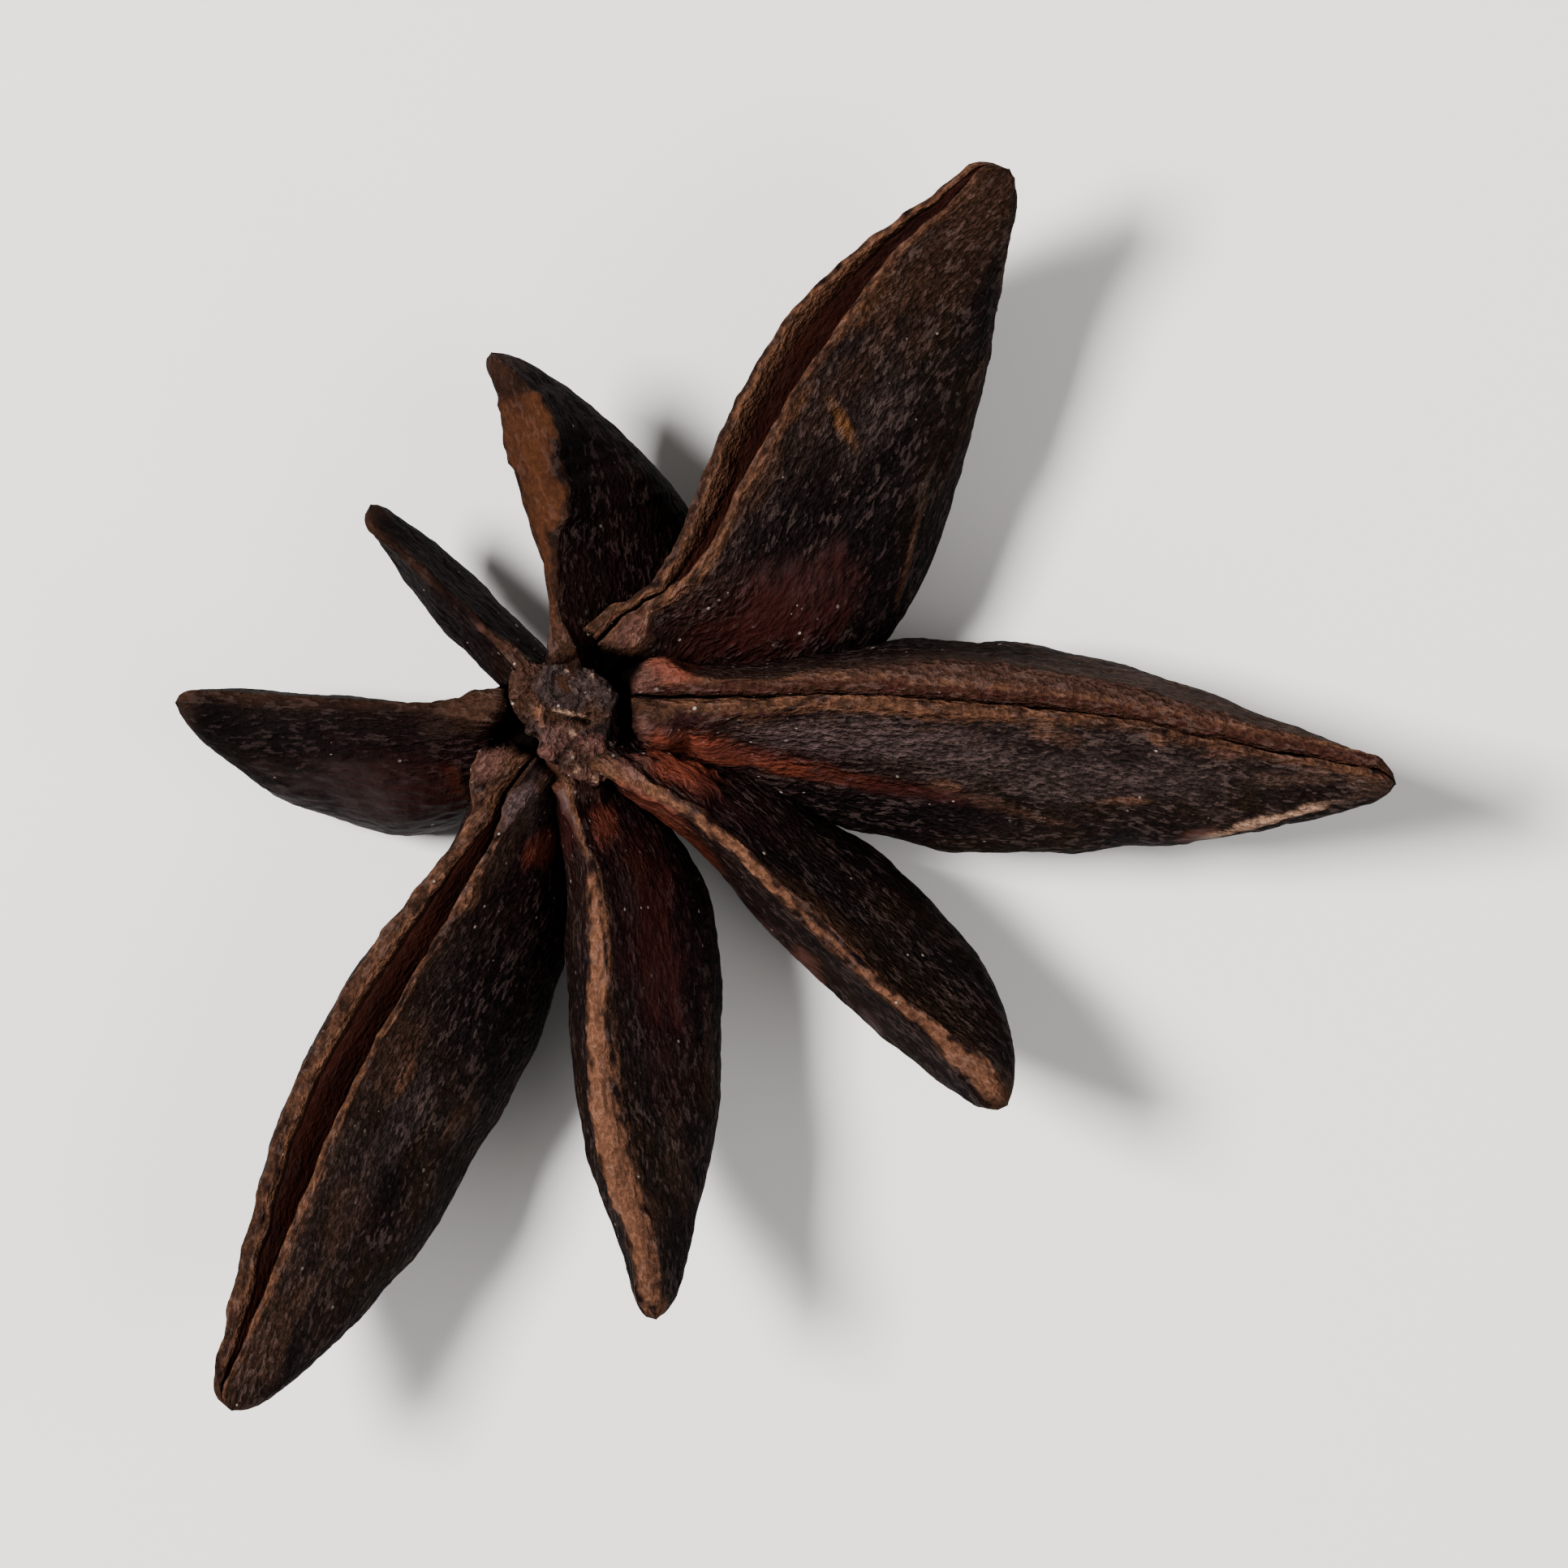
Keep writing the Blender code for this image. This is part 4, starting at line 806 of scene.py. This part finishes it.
def husk_grain_group():
    """The tint with short light dashes, pores and painted glints on it that follow the husk, and their height.
    """
    group, start, end = new_group(
        "husk grain",
        [("Tint", "NodeSocketColor", (0.02, 0.012, 0.01, 1.0)), ("Grain", "NodeSocketFloat", 1.0),
         ("Glint Specks", "NodeSocketFloat", 0.2), ("Stretch", "NodeSocketVector", (2.0, 6.0, 6.0))],
        [("Colour", "NodeSocketColor"), ("Height", "NodeSocketFloat")],
    )
    w = Wiring(group)
    fibre = w.node("ShaderNodeAttribute", attribute_name="fibre").outputs["Vector"]
    streaks = w.noise(fibre, start.outputs["Stretch"], detail=2.0, roughness=0.5)
    pores = w.noise(fibre, (6.0, 8.5, 8.5), detail=2.0, roughness=0.6)
    patches = w.noise(fibre, (0.8, 1.4, 1.4), detail=1.0, roughness=0.5)
    edge = w.ramp(patches, 0.35, 0.65, bottom=0.08, top=-0.05)
    dashes = w.ramp(w.math("SUBTRACT", streaks, edge), 0.555, 0.595)
    dots = w.ramp(pores, 0.42, 0.60)
    spread = w.math("MULTIPLY", w.math("SUBTRACT", dots, 0.40), start.outputs["Grain"])
    toned = w.node("ShaderNodeVectorMath", operation="SCALE")
    w.link(start.outputs["Tint"], toned.inputs[0])
    w.link(w.math("ADD", w.math("MULTIPLY", spread, 0.80), 1.0), toned.inputs["Scale"])
    # The light dashes are the grain's light fibres, and as they follow the ridges of the bump they are partly
    # painted highlights too.
    light = w.node("ShaderNodeVectorMath", operation="SCALE")
    light.inputs[0].default_value = (0.0240, 0.0152, 0.0132)
    w.link(w.math("MULTIPLY", dashes, start.outputs["Grain"]), light.inputs["Scale"])
    dashed = w.node("ShaderNodeVectorMath", operation="ADD")
    w.link(toned.outputs["Vector"], dashed.inputs[0])
    w.link(light.outputs["Vector"], dashed.inputs[1])
    # Painted glints: small pale dots, on as many cells as the attribute allows, raised a little in the bump.
    cells = w.node("ShaderNodeTexVoronoi", feature="F1")
    w.link(fibre, cells.inputs["Vector"])
    cells.inputs["Scale"].default_value = 3.4
    chance = w.node("ShaderNodeSeparateColor")
    w.link(cells.outputs["Color"], chance.inputs["Color"])
    size = w.math("ADD", w.math("MULTIPLY", chance.outputs["Green"], 0.13), 0.09)
    dot = w.ramp(w.math("SUBTRACT", size, cells.outputs["Distance"]), -0.02, 0.06)
    chosen = w.math("LESS_THAN", chance.outputs["Red"], start.outputs["Glint Specks"])
    faint = w.math("POWER", chance.outputs["Blue"], 1.1)
    glint_specks = w.math("MULTIPLY", w.math("MULTIPLY", dot, chosen), faint)
    w.link(w.mix(glint_specks, dashed.outputs["Vector"], (0.28, 0.22, 0.19, 1)), end.inputs["Colour"])
    height = w.math("ADD", w.math("MULTIPLY", streaks, 1.3), w.math("MULTIPLY", pores, 1.1))
    height = w.math("MULTIPLY", height, w.ramp(start.outputs["Grain"], 0.0, 0.8, bottom=0.2))
    w.link(w.math("ADD", height, w.math("MULTIPLY", glint_specks, 0.6)), end.inputs["Height"])
    return group


def husk_material(name, grain, stretch, bump_height):
    material = bpy.data.materials.new(name)
    material.use_nodes = True
    tree = material.node_tree
    w = Wiring(tree)
    shader = tree.nodes["Principled BSDF"]
    pattern = w.node("ShaderNodeGroup", node_tree=grain)
    w.link(w.node("ShaderNodeAttribute", attribute_name="tint").outputs["Color"], pattern.inputs["Tint"])
    w.link(w.node("ShaderNodeAttribute", attribute_name="grain").outputs["Fac"], pattern.inputs["Grain"])
    pattern.inputs["Stretch"].default_value = stretch
    w.link(w.node("ShaderNodeAttribute", attribute_name="glint_specks").outputs["Fac"], pattern.inputs["Glint Specks"])
    w.link(pattern.outputs["Colour"], shader.inputs["Base Color"])
    gloss = w.node("ShaderNodeAttribute", attribute_name="gloss").outputs["Fac"]
    w.link(w.ramp(gloss, 0.0, 1.0, bottom=0.62, top=0.42), shader.inputs["Roughness"])
    shader.inputs["Specular IOR Level"].default_value = 0.008
    w.link(w.ramp(gloss, 0.0, 1.0, bottom=0.0, top=0.12), shader.inputs["Coat Weight"])
    shader.inputs["Coat Roughness"].default_value = 0.38
    bump = w.node("ShaderNodeBump")
    bump.inputs["Strength"].default_value = 0.8
    bump.inputs["Distance"].default_value = bump_height
    w.link(pattern.outputs["Height"], bump.inputs["Height"])
    w.link(bump.outputs["Normal"], shader.inputs["Normal"])
    return material


# The floor, the light and the camera.

def build_stage():
    bm = bmesh.new()
    bmesh.ops.create_grid(bm, x_segments=1, y_segments=1, size=1.5)
    mesh = bpy.data.meshes.new("floor")
    bm.to_mesh(mesh)
    bm.free()
    floor = bpy.data.objects.new("floor", mesh)
    bpy.context.scene.collection.objects.link(floor)
    paper = bpy.data.materials.new("pale floor")
    paper.use_nodes = True
    shader = paper.node_tree.nodes["Principled BSDF"]
    shader.inputs["Base Color"].default_value = (0.82, 0.79, 0.76, 1)
    shader.inputs["Roughness"].default_value = 0.8
    shader.inputs["Specular IOR Level"].default_value = 0.2
    mesh.materials.append(paper)


def add_light(name, place, size, power, colour=(1.0, 1.0, 1.0)):
    light = bpy.data.lights.new(name, "AREA")
    light.size = size
    light.energy = power
    light.color = colour
    lamp = bpy.data.objects.new(name, light)
    lamp.location = place
    lamp.rotation_euler = (-Vector(place)).to_track_quat("-Z", "Y").to_euler()
    bpy.context.scene.collection.objects.link(lamp)


def build_light_and_camera():
    world = bpy.data.worlds.new("soft room")
    world.use_nodes = True
    background = world.node_tree.nodes["Background"]
    background.inputs["Color"].default_value = (1.0, 0.99, 0.98, 1)
    background.inputs["Strength"].default_value = 0.24
    bpy.context.scene.world = world
    add_light("key", (-0.25, 0.05, 0.42), 0.12, 6.4)
    add_light("fill", (0.28, -0.10, 0.41), 0.35, 1.3)
    size = cad_high - cad_low
    view_width = max(size.x, size.y) / 0.80
    height = 0.34
    camera_data = bpy.data.cameras.new("camera")
    camera_data.sensor_width = 36.0
    camera_data.lens = camera_data.sensor_width * (height - 0.6 * size.z) / view_width
    camera_data.clip_start = 0.01
    camera = bpy.data.objects.new("camera", camera_data)
    middle = 0.5 * (cad_low + cad_high)
    camera.location = (middle.x, middle.y, height)
    bpy.context.scene.collection.objects.link(camera)
    bpy.context.scene.camera = camera


def main():
    grain = husk_grain_group()
    skin = husk_material("dried husk skin", grain, (3.0, 6.6, 6.6), 0.20 * MM)
    wood = husk_material("crumbling column wood", grain, (3.5, 5.0, 5.0), 0.22 * MM)
    for seed, name in enumerate(FOLLICLES, start=1):
        build_follicle(name, seed, skin)
    build_column(wood)
    build_stage()
    build_light_and_camera()


main()
